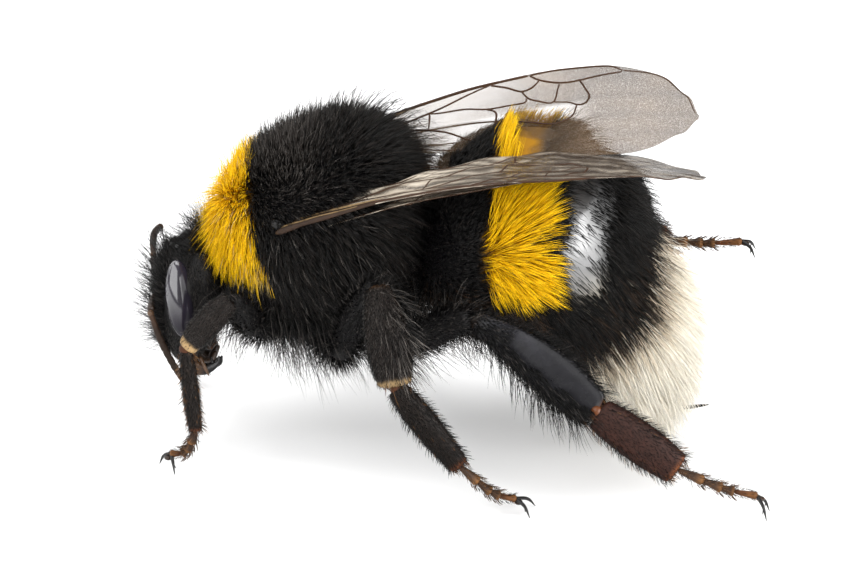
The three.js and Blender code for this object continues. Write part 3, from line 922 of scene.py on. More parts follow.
for leg, lofts in LEG_LOFTS.items():
    kind = kind_of(leg)
    shin = lofts["tibia"].surface(44, 32)
    if kind == "hind":
        shin = basket(lofts["tibia"], shin)
    look = GLOSS if kind == "hind" else LEG_SHELL
    piece = Shape().add(shin, shin_tone(leg, shin[0]))
    knee, ankle, heel = LEGS[leg][2:5]
    shin_end, foot_end = (SEGMENTS[kind][name][0][-1] for name in ("tibia", "basitarsus"))
    along = unit(ankle - knee)
    if kind != "front":
        add_spines(piece, RED_BROWN * 0.5, ankle - along * 0.12, along, shin_end * 0.7, 2, 0.5, 0.2)
    piece.add(ball(ankle, (0.26, 0.2, 0.26)), RED_BROWN * (0.5 if kind == "hind" else 0.25))
    make_piece(f"shin_{leg}", piece, look, "shell", [f"tibia_{leg}"])
    foot = lofts["basitarsus"].surface(32, 24)
    piece = Shape().add(foot, foot_tone(leg, foot[0]))
    along = unit(heel - ankle)
    add_spines(piece, RED_BROWN * 0.2, heel - along * 0.1, along, foot_end * 0.85, 14, 0.24)
    make_piece(f"foot_{leg}", piece, LEG_SHELL, "shell", [f"basitarsus_{leg}"])
    make_piece(f"toe_joints_{leg}", toe_shape(leg), RUST, "brown_shell", [f"tarsus_{leg}"])
    make_piece(f"claw_pair_{leg}", claw_shape(leg), GLOSS, "shell", [f"claws_{leg}"])

# ---- Wings ---------------------------------------------------------------------------------------

MEMBRANE_THICK = 0.03
MEMBRANE_GRID = (90, 30)  # points along a wing and across it
FOLDS = 230  # how close together a membrane's folds are
# A wing's length, its two edges as shares of that, along then across, and how it lies by its fellow: drop is
# how far below, turn how far round in radians, and steeper what it adds to the tilt on the left side.
FOREWING = {
    "length": 16.4,
    "lead": [(0, 0), (0.2, -0.02), (0.5, -0.024), (0.74, -0.024), (0.88, 0.02), (0.96, 0.09), (1, 0.17)],
    "trail": [(0, 0.035), (0.2, 0.11), (0.42, 0.235), (0.62, 0.315), (0.8, 0.335), (0.93, 0.28), (1, 0.19)],
    "drop": 0.0,
    "turn": 0.0,
    "steeper": 0.0,
}
HINDWING = {
    "length": 11.4,
    "lead": [(0, 0.02), (0.3, 0.01), (0.6, 0.03), (0.85, 0.09), (1, 0.2)],
    "trail": [(0, 0.06), (0.3, 0.2), (0.55, 0.32), (0.85, 0.34), (1, 0.23)],
    "drop": 0.6,
    "turn": -0.14,
    "steeper": 0.22,
}
# rise is how a wing climbs along its length. tilt is how far it falls for each mm back from its leading
# edge at the root, and twist is how that grows for each mm along. smoke and window are how dense and how
# clear its membrane is, tint is the colour of that, and the paler colour along its folds is a painted sheen.
WING_SET = {
    LEFT: {
        "base": (-4.95, -3.45, 10.4), "sweep": 0.3, "rise": (0.474, -0.0126), "tilt": -0.16, "twist": 0.029,
        "smoke": 0.9, "window": 0.0, "tint": (0.038, 0.023, 0.013), "fold_sheen": (0.74, 0.66, 0.54),
    },
    RIGHT: {
        "base": (-5.5, 3.45, 10.35), "sweep": 0.0, "rise": (0.608, -0.0201), "tilt": 0.273, "twist": 0.0,
        "smoke": 0.05, "window": 0.9, "tint": (0.085, 0.048, 0.02), "fold_sheen": (0.16, 0.11, 0.06),
    },
}
# Forewing veins as shares of its length, along then across, with their half widths in mm.
FORE_VEINS = [
    (0.085, [(0.0, 0.005), (0.2, -0.012), (0.38, -0.016), (0.57, -0.02)]),
    (0.05, [(0.57, -0.02), (0.66, -0.027), (0.76, -0.021), (0.8, 0.0)]),
    (0.035, [(0.8, 0.0), (0.88, 0.022), (0.95, 0.08), (0.99, 0.16)]),
    (0.05, [(0.57, -0.02), (0.6, 0.01), (0.65, 0.027), (0.7, 0.026), (0.76, 0.012), (0.8, 0.004)]),
    (0.05, [(0.475, -0.012), (0.516, 0.015), (0.556, 0.039), (0.58, 0.032), (0.597, 0.01)]),
    (0.045, [(0.556, 0.039), (0.575, 0.074), (0.605, 0.09), (0.64, 0.098), (0.648, 0.03)]),
    (0.045, [
        (0.697, 0.026), (0.712, 0.06), (0.726, 0.088), (0.722, 0.124), (0.7, 0.13), (0.675, 0.11),
        (0.64, 0.098),
    ]),
    (0.05, [(0.02, 0.02), (0.18, 0.032), (0.33, 0.028), (0.41, 0.006), (0.475, -0.012)]),
    (0.045, [(0.33, 0.03), (0.41, 0.058), (0.475, 0.086), (0.535, 0.09), (0.568, 0.088), (0.572, 0.075)]),
    (0.045, [(0.475, 0.086), (0.5, 0.105), (0.503, 0.153), (0.503, 0.2)]),
    (0.045, [(0.503, 0.153), (0.555, 0.16), (0.605, 0.172), (0.654, 0.19), (0.69, 0.165), (0.7, 0.13)]),
    (0.05, [(0.03, 0.03), (0.18, 0.06), (0.335, 0.1), (0.41, 0.16), (0.495, 0.226)]),
    (0.04, [(0.33, 0.03), (0.333, 0.06), (0.335, 0.1)]),
    (0.04, [(0.495, 0.226), (0.503, 0.2), (0.53, 0.184)]),
    (0.035, [(0.03, 0.035), (0.2, 0.1), (0.42, 0.225), (0.5, 0.262)]),
]
HIND_VEINS = [
    (0.05, [(0.0, 0.04), (0.3, 0.02), (0.6, 0.04), (0.8, 0.08)]),
    (0.04, [(0.0, 0.05), (0.25, 0.08), (0.5, 0.13), (0.7, 0.16)]),
    (0.04, [(0.4, 0.03), (0.43, 0.08), (0.46, 0.12)]),
    (0.035, [(0.0, 0.055), (0.2, 0.12), (0.42, 0.22), (0.6, 0.28)]),
]


class Wing:
    """A wing's surface: share s along it and c across it, from the leading to the trailing edge."""

    def __init__(self, plan, side):
        self.plan = plan
        self.side = side
        self.place = WING_SET[side]
        self.angle = self.place["sweep"] + plan["turn"]

    def flat(self, s, c):
        lead, trail = spline(self.plan["lead"], s), spline(self.plan["trail"], s)
        return lead + (trail - lead) * c[..., None]

    def lift(self, shares):
        """Points in space for shares of the wing's length, along then across."""
        u, w = (np.asarray(shares) * self.plan["length"]).T
        base = self.place["base"]
        c, s = math.cos(self.angle), math.sin(self.angle)
        pleat = 0.05 * np.sin(w * 5.0 + 0.3 * u) * step(0, 1, w)
        pleat = pleat + 0.03 * ripple(stack(u * 0.6, w * 2, 0), 2.0, 5)
        x = base[0] + u * c + w * s
        y = base[1] + self.side * (u * s - w * c)
        return stack(x, y, base[2] + self.rise(u, w) - self.plan["drop"] + pleat)

    def over(self, points):
        """Which points lie within its outline as seen from above, and its height there."""
        base = self.place["base"]
        c, s = math.cos(self.angle), math.sin(self.angle)
        ahead = points[..., 0] - base[0]
        inward = self.side * (points[..., 1] - base[1])
        u = ahead * c + inward * s
        w = ahead * s - inward * c
        share = u / self.plan["length"]
        across = w / self.plan["length"]
        lead, trail = (np.interp(share, *np.transpose(self.plan[edge])) for edge in ("lead", "trail"))
        covered = (share > 0.07) & (share < 1) & (across > lead) & (across < trail)
        return covered, base[2] - self.plan["drop"] + self.rise(u, w)

    def rise(self, u, w):
        first, second = self.place["rise"]
        steeper = self.plan["steeper"] * (self.side == LEFT)
        return first * u + second * u**2 - (self.place["tilt"] + steeper + self.place["twist"] * u) * w

    def membrane(self):
        """Its points and faces, and where its points lie as shares of its length, along then across."""
        rows, columns = MEMBRANE_GRID
        s, c = np.meshgrid(np.linspace(0, 1, rows), np.linspace(0, 1, columns), indexing="ij")
        shares = self.flat(s.ravel(), c.ravel())
        middle = self.lift(shares)
        half = np.array([0, 0, MEMBRANE_THICK / 2])
        points = np.concatenate([middle + half, middle - half])
        faces = slab_faces(rows, columns)
        if self.side == LEFT:
            faces = [f[:, ::-1] for f in faces]
        return points, faces, np.tile(shares, (2, 1))


def wing_piece(name, plan, side, veins, node):
    """A wing's membrane with its colours and marks, and its veins."""
    wing = Wing(plan, side)
    points, faces, shares = wing.membrane()
    along, across = shares.T
    folds = 0.5 + 0.5 * np.sin(across * FOLDS + 12 * along + 2.6 * ripple(shares[:, [0, 1, 1]] * 12, 1.0, 8))
    # Painted sheen: the fold ridges are painted paler, most of all near the root, as highlights on the
    # membrane.
    near_root = step(0.55, 0.25, along)
    pale = 0.34 * folds**3 * (1 - near_root) + (0.1 + 0.9 * folds) * near_root
    tone = mix(np.broadcast_to(wing.place["tint"], points.shape), wing.place["fold_sheen"], pale)
    piece = make_piece(name, Shape().add((points, faces), tone), WING_LOOK, "wing", [node])
    over_abdomen = 1
    if plan is FOREWING:
        over_abdomen = step(0.34, 0.42, along) * step(0.76, 0.64, along) * step(0.1, 0.135, across)
    stippled = step(0.42, 0.72, along + across * 0.6)
    dense = wing.place["smoke"] * (0.6 + 0.4 * folds) + 0.35 * folds * step(0.4, 0.0, along)
    clearest = wing.place["window"] * over_abdomen
    paint(piece.data, "marks", stack(stippled, dense, clearest, 0))
    shape = Shape()
    for radius, route in veins:
        path = wing.lift(spline(route, np.linspace(0, 1, 4 * len(route))))
        radii = [radius, radius, radius * 0.75]
        shape.add(tube(path, radii, 0.8, caps=(0.03, 0.03), steps=26, sides=8), VEIN_BROWN)
    make_piece(f"{name}_veins", shape, LEG_SHELL, "brown_shell")


# The horny ridges at a wing's root: half width, route as shares of the wing's length, and tone.
ROOT_RIDGES = [
    (0.15, [(-0.03, -0.026), (0.03, -0.022), (0.1, -0.02), (0.26, -0.018)], DARK_BROWN * 1.2),
    (0.14, [(-0.025, -0.008), (0.03, -0.009), (0.1, -0.011), (0.3, -0.012)], STRAW * 0.36),
    (0.15, [(-0.03, 0.01), (0.03, 0.006), (0.1, 0.001), (0.26, -0.004)], DARK_BROWN * 0.9),
    (0.15, [(-0.02, 0.026), (0.03, 0.02), (0.1, 0.014), (0.24, 0.01)], STRAW * 0.3),
    (0.16, [(-0.03, 0.044), (0.03, 0.036), (0.1, 0.03), (0.22, 0.03)], DARK_BROWN * 1.1),
    (0.12, [(-0.02, 0.062), (0.03, 0.056), (0.08, 0.056), (0.15, 0.07)], BROWN * 0.5),
]


def wing_root_shape(side):
    wing = Wing(FOREWING, side)
    shape = Shape()
    for half, route, tone in ROOT_RIDGES:
        path = wing.lift(spline(route, np.linspace(0, 1, 12)))
        path[0] += (0.0, -0.4 * side, -0.15)  # into the fur
        swell = half * np.array([0.9, 1.05, 0.8, 0.9, 0.6, 0.3])
        shape.add(tube(path, swell, 0.8, caps=(0.1, 0.1), steps=30, sides=12), tone)
    return shape


WING_LOOK = wing_look()
for word, side in SIDES.items():
    wing_piece(f"fore_membrane_{word}", FOREWING, side, FORE_VEINS, f"forewing_{word}")
    wing_piece(f"hind_membrane_{word}", HINDWING, side, HIND_VEINS, f"hindwing_{word}")
    base = np.array(WING_SET[side]["base"])
    middle = base + (-0.4, side * -0.18, -0.1)
    points, faces = ball(middle, (0.36, 0.22, 0.24), 28, 40, turn=(0, 0.3, 0))
    points = middle + (points - middle) * (1 + 0.13 * ripple(points, 0.4, 61)[:, None])
    make_piece(f"wing_cap_{word}", Shape().add((points, faces), BLACK * 0.6), GLOSS, "shell")
    make_piece(f"wing_root_{word}", wing_root_shape(side), RUST, "brown_shell")

# ---- Coat ----------------------------------------------------------------------------------------
# Each hair is a thin closed three-sided spike. Hairs lean together in small tufts.

PATCH = 0.003  # the width of a hair's patch on the map of its part of the body
MOST_TRIANGLES = 190_000  # of one piece of the coat
FLOOR_GAP = 0.04  # no hair reaches lower
WING_GAP = 0.06  # nor closer to the underside of a wing
ROOT_GAP = 0.1  # if its root is at least this far below the wing
FEWEST_IN_TUFTS = 30  # fewer hairs than this stay single
rng = np.random.default_rng(11)


def loft_uv(t, a):
    """A place on the unwrap of a loft."""
    return stack(0.02 + 0.95 * ((a / TAU) % 1.0), 0.02 + 0.95 * t)


class Bed:
    """Places on a loft where hairs root: shares t along it and angles a round it, evenly scattered."""

    ROWS, COLUMNS = 60, 72

    def __init__(self, loft, per_mm2, reach=0.16, on_body=True):
        self.loft = loft
        self.t, self.a = self.scatter(per_mm2)
        self.roots = loft.at(self.t, self.a)
        self.normals = loft.normal(self.t, self.a)
        self.uv = loft_uv(self.t, self.a)
        if on_body:
            self.only(self.settle() < reach)

    def scatter(self, per_mm2):
        t_edges = np.linspace(0, 1, self.ROWS + 1)
        a_edges = np.linspace(-math.pi, math.pi, self.COLUMNS + 1)
        grid = self.loft.at(np.repeat(t_edges, self.COLUMNS + 1), np.tile(a_edges, self.ROWS + 1))
        grid = grid.reshape(self.ROWS + 1, self.COLUMNS + 1, 3)
        along = grid[1:, :-1] - grid[:-1, :-1]
        around = grid[:-1, 1:] - grid[:-1, :-1]
        area = np.linalg.norm(np.cross(along, around), axis=-1).ravel()
        count = int(area.sum() * per_mm2)
        place = (np.arange(count) + rng.random(count)) / count
        cell = np.searchsorted(np.cumsum(area) / area.sum(), place)
        cell = np.minimum(cell, self.ROWS * self.COLUMNS - 1)
        t = t_edges[cell // self.COLUMNS] + rng.random(count) / self.ROWS
        a = a_edges[cell % self.COLUMNS] + rng.random(count) * TAU / self.COLUMNS
        return t, a

    def settle(self):
        """Moves the roots onto the skin and returns how far each one moved."""
        moved = np.zeros(len(self.roots))
        for i, root in enumerate(self.roots.tolist()):
            place, normal, _, moved[i] = skin_tree.find_nearest(root)
            self.roots[i] = place
            self.normals[i] = normal
        return moved

    def only(self, chosen):
        """Keeps the chosen places."""
        for name in ("t", "a", "roots", "normals", "uv"):
            setattr(self, name, getattr(self, name)[chosen])
        return self

    def part(self, chosen):
        """A copy with the chosen places only."""
        return copy.copy(self).only(chosen)

    def thin(self, share):
        """Keeps each place with the chance that share gives."""
        return self.only(rng.random(len(self.t)) < share)

    def swirl(self, size, seed):
        """A smooth random direction at each place."""
        return stack(*(ripple(self.roots, size, seed + k) for k in range(3)))


def some(low, high, count):
    return rng.uniform(low, high, count)


def chance(share, count=None):
    """True with the chance that share gives, for each share or count times."""
    return rng.random(np.shape(share) if count is None else count) < share


def vary(value, count):
    """One number for each hair. (value, low, high) makes each value times a share between low and high."""
    if isinstance(value, tuple):
        value, low, high = value
        value = value * some(low, high, count)
    return np.broadcast_to(value, count)


def lean(normal, lie, angle):
    """A hair's direction: along lie on the surface, raised from it by an angle in degrees."""
    flat = unit(lie - normal * np.sum(lie * normal, axis=-1, keepdims=True))
    rise = np.radians(np.broadcast_to(angle, len(normal)))[:, None]
    return unit(flat * np.cos(rise) + normal * np.sin(rise))


def jitter(directions, amount):
    return unit(directions + rng.normal(size=directions.shape) * amount)


def gather(line, clump, together):
    """Draws each hair's outer part towards a neighbour, so that hairs form tufts."""
    count = len(line)
    leaders = rng.permutation(count)[: max(3, count // together)]
    tree = KDTree(len(leaders))
    for i, leader in enumerate(leaders.tolist()):
        tree.insert(line[leader, 0], i)
    tree.balance()
    nearest = np.array([tree.find(p)[1] for p in line[:, 0].tolist()])
    lead = line[leaders[nearest]]
    pull = clump * np.linspace(0, 1, line.shape[1]) ** 1.4
    return line + (lead - line) * (pull[None] * some(0.5, 1.0, (count, 1)))[..., None]


def press_under_wings(line):
    """Keeps hairs that root below a wing from coming up through it."""
    for side in SIDES.values():
        for plan in (FOREWING, HINDWING):
            wing = Wing(plan, side)
            covered, height = wing.over(line)
            root_below = line[:, :1, 2] < height - ROOT_GAP
            poking = covered & root_below & (line[..., 2] > height - WING_GAP)
            line[..., 2] = np.where(poking, height - WING_GAP, line[..., 2])
    return line


def spikes(line, radius, across):
    """Closed three-sided spikes along lines of points.

    Returns their points, one spike's faces, and how far along a spike each of its points is.
    """
    count, stops = line.shape[:2]
    rings = stops - 1
    ahead = unit(line[:, 1:] - line[:, :-1])
    side = unit(across[:, None] - ahead * np.sum(across[:, None] * ahead, axis=-1, keepdims=True))
    up = np.cross(ahead, side)
    angle = (np.arange(3) * TAU / 3)[None, None, :, None]
    taper = 1 - 0.6 * (np.arange(rings) / rings) ** 1.5
    around = side[:, :, None] * np.cos(angle) + up[:, :, None] * np.sin(angle)
    ring = line[:, :-1, None] + around * (radius[:, None] * taper[None])[..., None, None]
    points = np.concatenate([ring.reshape(count, rings * 3, 3), line[:, -1:]], axis=1)
    faces = [(0, 2, 1)]
    for r in range(rings - 1):
        for c in range(3):
            here, after = r * 3 + c, r * 3 + (c + 1) % 3
            faces += [(here, after, after + 3), (here, after + 3, here + 3)]
    last = (rings - 1) * 3
    faces += [(last + c, last + (c + 1) % 3, last + 3) for c in range(3)]
    share = np.concatenate([np.repeat(np.arange(rings) / rings, 3), [1.0]])
    return points, np.array(faces), share


class Coat:
    """Gathers hairs, then makes them into pieces by colour."""

    def __init__(self):
        self.batches = {}

    def grow(self, name, bed, colors, lie, rise, length, radius, segments=2, bow=12, clump=0.5,
             together=11, stray=0.08, wave=0.014, droop=0.0):
        """Adds a hair at each place of the bed.

        lie is the way it lies on the surface and rise is its angle off it in degrees, more at the root and
        less at the tip by bow. (rise, spread) makes the angle differ from hair to hair. length and radius
        may be as vary() takes them. droop pulls its outer part down.
        """
        count = len(bed.roots)
        if not count:
            return
        if isinstance(rise, tuple):
            rise = rise[0] + rng.normal(size=count) * rise[1]
        length = vary(length, count)
        radius = vary(radius, count)
        colors = np.broadcast_to(colors, count)
        first = lean(jitter(bed.normals, stray), lie, rise + bow)
        last = jitter(lean(bed.normals, lie, rise - bow), stray * 0.7)
        fall = np.zeros((count, 3))
        fall[:, 2] = droop
        last = unit(last - fall)
        s = np.linspace(0, 1, segments + 1)
        middle = ((s[1:] + s[:-1]) / 2)[None, :, None]
        way = unit(first[:, None] * (1 - middle) + last[:, None] * middle)
        way = np.cumsum(way * (length / segments)[:, None, None], axis=1)
        line = np.concatenate([np.zeros((count, 1, 3)), way], axis=1) + bed.roots[:, None]
        across = unit(np.cross(first, rng.normal(size=(count, 3))))
        curl = np.sin(s[None] * some(2, 5, (count, 1)) + some(0, TAU, (count, 1)))
        curl = (curl - curl[:, :1]) * (wave * length * rng.normal(size=count))[:, None]
        line = line + across[:, None] * curl[..., None]
        if clump > 0 and count > FEWEST_IN_TUFTS:
            line = gather(line, clump, together)
        line = press_under_wings(line)
        line[..., 2] = np.maximum(line[..., 2], FLOOR_GAP)
        self.add(name, line, radius, across, colors, bed.uv)

    def add(self, name, line, radius, across, colors, uv):
        """Keeps spikes along the lines, sorted by the slot of their colour."""
        points, faces, share = spikes(line, radius, across)
        names, which = np.unique(colors, return_inverse=True)
        light = some(0.8, 1.2, (len(line), 1))
        ends = [np.array([HAIR_COLORS[n][end] for n in names])[which] * light for end in (0, 1)]
        tone = mix(ends[0][:, None], ends[1][:, None], share[None])
        corner = np.arange(points.shape[1]) % 3
        spot = stack(corner / 3 * PATCH, share * PATCH)
        maps = uv[:, None] + spot[None]
        slots = np.array([HAIR_COLORS[n][2] for n in names])[which]
        for slot in np.unique(slots):
            own = slots == slot
            batch = self.batches.setdefault((name, str(slot)), [])
            batch.append((points[own], faces, np.minimum(tone[own], 1.0), maps[own]))

    def make(self):
        """One piece for each lot of hairs of a slot, split to stay under the triangle limit."""
        for (name, slot), batches in self.batches.items():
            total = sum(len(faces) * len(points) for points, faces, _, _ in batches)
            parts = max(1, math.ceil(total / MOST_TRIANGLES))
            label = f"coat_{name}_{slot.split('_')[0]}"
            for part in range(parts):
                own_label = f"{label}_{part + 1}" if parts > 1 else label
                self.make_part(own_label, slot, batches, part, parts)

    def make_part(self, label, slot, batches, part, parts):
        """One piece with an equal part of each batch of hairs."""
        shape = Shape()
        maps = []
        for points, faces, tone, spots in batches:
            chosen = slice(part * len(points) // parts, (part + 1) * len(points) // parts)
            own = points[chosen]
            offsets = (np.arange(len(own)) * points.shape[1])[:, None, None]
            triangles = (faces[None] + offsets).reshape(-1, 3)
            shape.add((own.reshape(-1, 3), [triangles]), tone[chosen].reshape(-1, 3))
            maps.append(spots[chosen].reshape(-1, 2))
        make_piece(label, shape, HAIR_LOOKS[slot], slot, uv=np.concatenate(maps))


coat = Coat()

# Thorax ---------------------------------------------------------------------------


def thorax_lie(bed):
    """Up and back on top, back and down on the sides, with swirls."""
    x, y, z = bed.roots.T
    top = step(9.6, 12.3, z)
    back = step(-3.5, 0.0, x)
    outward = np.sign(y) * step(0.5, 3.2, np.abs(y))
    lie = stack(0.7 + 0.5 * top + 0.6 * back, 0.12 * outward, -0.8 * (1 - top))
    return lie + 0.22 * bed.swirl(2.4, 1)


def thorax_colors(bed):
    """The colour of each hair, and whether it is in the collar."""
    x, _, z = bed.roots.T
    edge_mix = step(-7.4, -6.0, x) * step(9.4, 8.2, z)
    in_collar = chance(collar_share(bed.roots, 0.18)) & ~chance(0.03 + 0.45 * edge_mix)
    pale = np.where(chance(0.05 + 0.5 * edge_mix), "tan", "yellow")
    sheen = np.exp(-(((x + 5.3) / 1.3) ** 2)) * step(10.4, 11.6, z)
    dark = np.where(chance(0.25 + 0.6 * sheen), "dusk", "black")
    dark = np.where(chance(0.3 * sheen), "grey", dark)
    return np.where(in_collar, pale, dark), in_collar


def grow_thorax_fur():
    bed = Bed(THORAX, 215)
    x, _, z = bed.roots.T
    bed.thin(1 - 0.45 * step(7.6, 6.0, z) - 0.25 * step(-4.5, -2.5, x) * step(12.0, 9.0, z))
    x, _, z = bed.roots.T
    top = step(9.8, 12.4, z)
    back = step(-3.0, 0.0, x)
    colors, in_collar = thorax_colors(bed)
    rise = np.where(in_collar, 32 + 34 * top, 34 + 36 * top - 14 * back * top)
    length = np.where(in_collar, 1.3, 0.85 + 0.35 * back + (0.2 + 0.3 * back) * top)
    radius = np.where(in_collar, 0.0165, 0.0155)
    coat.grow("thorax", bed, colors, thorax_lie(bed), (rise, 7), (length, 0.65, 1.1), (radius, 0.8, 1.15))


def grow_thorax_guards():
    """Longer, thinner hairs that stand out of the fur and break its outline."""
    bed = Bed(THORAX, 26)
    x, _, z = bed.roots.T
    count = len(x)
    top = step(9.8, 12.4, z)
    back = step(-3.5, 0.0, x)
    colors, in_collar = thorax_colors(bed)
    side_glint = chance(0.13 * (1 - top) * step(11.0, 10.0, z))
    colors = np.where(~in_collar & side_glint, "glint", colors)
    rise = 38 + 30 * top - 12 * back + rng.normal(size=count) * 12
    peak = 0.6 * top * np.exp(-(((x + 2.2) / 1.5) ** 2))
    length = np.where(in_collar, 1.5, 1.4 + (0.4 + 0.6 * top) * back + peak) * some(0.75, 1.25, count)
    length = np.where(colors == "glint", 0.7, 1.0) * length
    radius = np.where(colors == "glint", 0.009, 0.012)
    coat.grow("thorax", bed, colors, thorax_lie(bed), rise, length, (radius, 0.8, 1.2), segments=3, bow=20,
              clump=0.3, together=5, stray=0.2, wave=0.05)


def grow_belly():
    """Fur under the thorax, and the long soft wisps that hang from it."""
    bed = Bed(BELLY, 150)
    bed.only(bed.normals[:, 2] < 0.3)
    x, y, _ = bed.roots.T
    lie = stack(0.3 + 0.1 * (x + 5.0), 0.5 * np.sign(y), -0.5)
    coat.grow("thorax", bed, "black", lie + 0.3 * bed.swirl(1.6, 31), (40, 9), (1.0, 0.6, 1.15),
              (0.015, 0.8, 1.15), together=9, droop=0.2)
    bed = Bed(BELLY, 34, reach=0.6)
    bed.only(bed.normals[:, 2] < 0.1)
    x, y, _ = bed.roots.T
    fan = stack(0.35 + 0.16 * (x + 5.0), 0.25 * np.sign(y), -0.7)
    # Grey-tipped wisps are painted sheen on the black hair.
    colors = np.where(chance(0.4, len(x)), "grey", "black")
    coat.grow("thorax", bed, colors, fan + 0.35 * bed.swirl(1.6, 21), 52, (2.5, 0.5, 1.35),
              (0.0115, 0.8, 1.2), segments=3, bow=10, together=6, stray=0.2, wave=0.06, droop=0.45)


grow_thorax_fur()
grow_thorax_guards()
grow_belly()

# Abdomen --------------------------------------------------------------------------

FAN = np.array([2.75, 4.2, 9.6])  # the yellow band's hair spreads from here on either side


def abdomen_lie(bed):
    """Back along the abdomen, and fanning out from FAN in the yellow band."""
    x, y, z = bed.roots.T
    ahead, _, _ = ABDOMEN.axes(bed.t)
    centre = np.tile(FAN, (len(x), 1))
    centre[:, 1] *= np.where(y < 0, -1, 1)
    fan = unit(bed.roots - centre) + np.array([0.2, 0, 0])
    in_band = step(5.9, 4.8, x) * step(2.7, 3.1, x) * step(7.0, 8.0, z)
    lie = mix(ahead, fan, in_band)
    return lie + (0.2 - 0.12 * in_band)[:, None] * bed.swirl(2.0, 11)


def abdomen_colors(bed):
    x, _, z = bed.roots.T
    t = bed.t
    yellow = chance(yellow_band_share(bed.roots, 0.2)) & chance(0.96, len(x))
    dark = np.where(chance(0.12, len(x)), "dusk", "black")
    dark = np.where(chance(0.6 * step(8.4, 6.8, z) * step(0.5, 0.4, t)), "brown", dark)
    dark = np.where(chance(0.22 * step(0.5, 0.62, t)), "brown", dark)
    colors = np.where(yellow, "yellow", dark)
    white = chance(tail_share(t, bed.a))
    dun = white & chance(0.8 * (1 - tail_share(t - 0.04, bed.a)) + 0.04)
    colors = np.where(white, "cream", colors)
    return np.where(dun, "dun", colors)


def grow_abdomen_fur():
    bed = Bed(ABDOMEN, 200)
    bed.thin(1 - 0.95 * bald_share(bed.roots) - 0.4 * step(0.30, 0.18, bed.t))
    tail = step(0.55, 0.7, bed.t)
    bald = bald_share(bed.roots)
    colors = abdomen_colors(bed)
    crest = (colors == "yellow") * step(11.8, 13.2, bed.roots[:, 2])
    rise = 23 + 14 * tail - 6 * bald + 16 * crest
    front = step(3.3, 2.6, bed.roots[:, 0])
    length = (0.95 + 0.9 * tail + 0.5 * (colors == "yellow") - 0.3 * front) * (1 - 0.3 * bald)
    radius = np.where(colors == "cream", 0.0125, 0.0155)
    coat.grow("abdomen", bed, colors, abdomen_lie(bed), (rise, 6), (length, 0.65, 1.15), (radius, 0.8, 1.15),
              clump=0.35)


def grow_abdomen_guards():
    bed = Bed(ABDOMEN, 30)
    bed.thin(1 - 0.6 * bald_share(bed.roots) - 0.3 * step(0.5, 0.4, bed.t))
    x, _, z = bed.roots.T
    tail = step(0.5, 0.7, bed.t)
    colors = abdomen_colors(bed)
    under = step(6.4, 5.4, z) * step(6.5, 4.0, x)
    rise = 34 + 10 * tail + 14 * under
    front = step(3.3, 2.6, x) * step(9.0, 10.0, z)
    length = 1.35 + 1.1 * tail + 0.5 * under - 0.7 * front
    coat.grow("abdomen", bed, colors, abdomen_lie(bed), (rise, 10), (length, 0.75, 1.2), (0.011, 0.8, 1.2),
              segments=3, bow=16, clump=0.2, together=5, stray=0.14, wave=0.04, droop=0.5 * under)


def grow_tail_down():
    """Finer, longer white hairs that soften the tail's outline."""
    bed = Bed(ABDOMEN, 80)
    bed.only(tail_share(bed.t - 0.03, bed.a) > 0.5)
    length = 1.9 * some(0.6, 1.2, len(bed.t))
    coat.grow("abdomen", bed, "cream", abdomen_lie(bed), (30, 9), length, (0.0095, 0.8, 1.2), clump=0.15,
              together=5, stray=0.14, wave=0.03)


grow_abdomen_fur()
grow_abdomen_guards()
grow_tail_down()

# Head -----------------------------------------------------------------------------


def head_bed(per_mm2):
    """Places on the head, but not in the eyes."""
    bed = Bed(HEAD, per_mm2, reach=0.6)
    clear = np.ones(len(bed.t), bool)
    for side in SIDES.values():
        gap = (bed.roots - np.array(EYE["centre"]) * (1, side, 1)) / (np.array(EYE["radii"]) * 1.08)
        clear &= np.sum(gap**2, axis=-1) > 1
    return bed.only(clear)


def head_lie(bed):
    """The way hairs lie on the head, and how far each is on the face and on the crown."""
    x, _, z = bed.roots.T
    face = step(-9.9, -10.4, x)
    crown = step(7.3, 8.0, z)
    along = 0.9 * crown + 0.5 * face - 0.5 * (1 - face)
    return stack(-0.5 * crown + 0.2 * (1 - face), 0, along), face, crown


def grow_head_fur():
    bed = head_bed(230)
    lie, face, crown = head_lie(bed)
    cheek = (1 - face) * (1 - crown)
    # Grey-tipped hairs, most on the cheeks, are painted sheen on the black fur.
    colors = np.where(chance(0.35 * cheek + 0.1), "grey", "black")
    rise = 22 + 34 * face + 14 * crown
    length = 0.18 + 0.28 * face + 0.1 * crown
    coat.grow("head", bed, colors, lie, (rise, 8), (length, 0.6, 1.2), (0.0125, 0.8, 1.2), segments=1, bow=0,
              clump=0.3)


def grow_head_bristles():
    """Stiff single bristles, longest on the face and behind the top of the head."""
    bed = head_bed(44)
    _, face, crown = head_lie(bed)
    bed.thin(np.maximum(face, 0.45 * crown) + 0.05)
    lie, face, crown = head_lie(bed)
    lie[:, 0] -= 0.5 * crown
    length = 0.35 + 1.1 * face + 0.85 * crown
    coat.grow("head", bed, "black", lie, (55, 14), (length, 0.4, 1.25), (0.009, 0.8, 1.2), segments=3,
              bow=10, clump=0.2, together=4, stray=0.2, wave=0.05)


def grow_cheeks():
    """Fine short down on the cheeks behind the eyes."""
    for cheek in CHEEKS.values():
        bed = Bed(cheek, 230)
        # Grey-tipped hairs here are painted sheen on the black down.
        colors = np.where(chance(0.3, len(bed.t)), "grey", "black")
        lie = np.array([0.3, 0, -0.8]) + 0.2 * bed.swirl(1.5, 41)
        coat.grow("head", bed, colors, lie, (22, 6), (0.2, 0.6, 1.2), (0.0115, 0.8, 1.2), segments=1, bow=0,
                  clump=0.2)


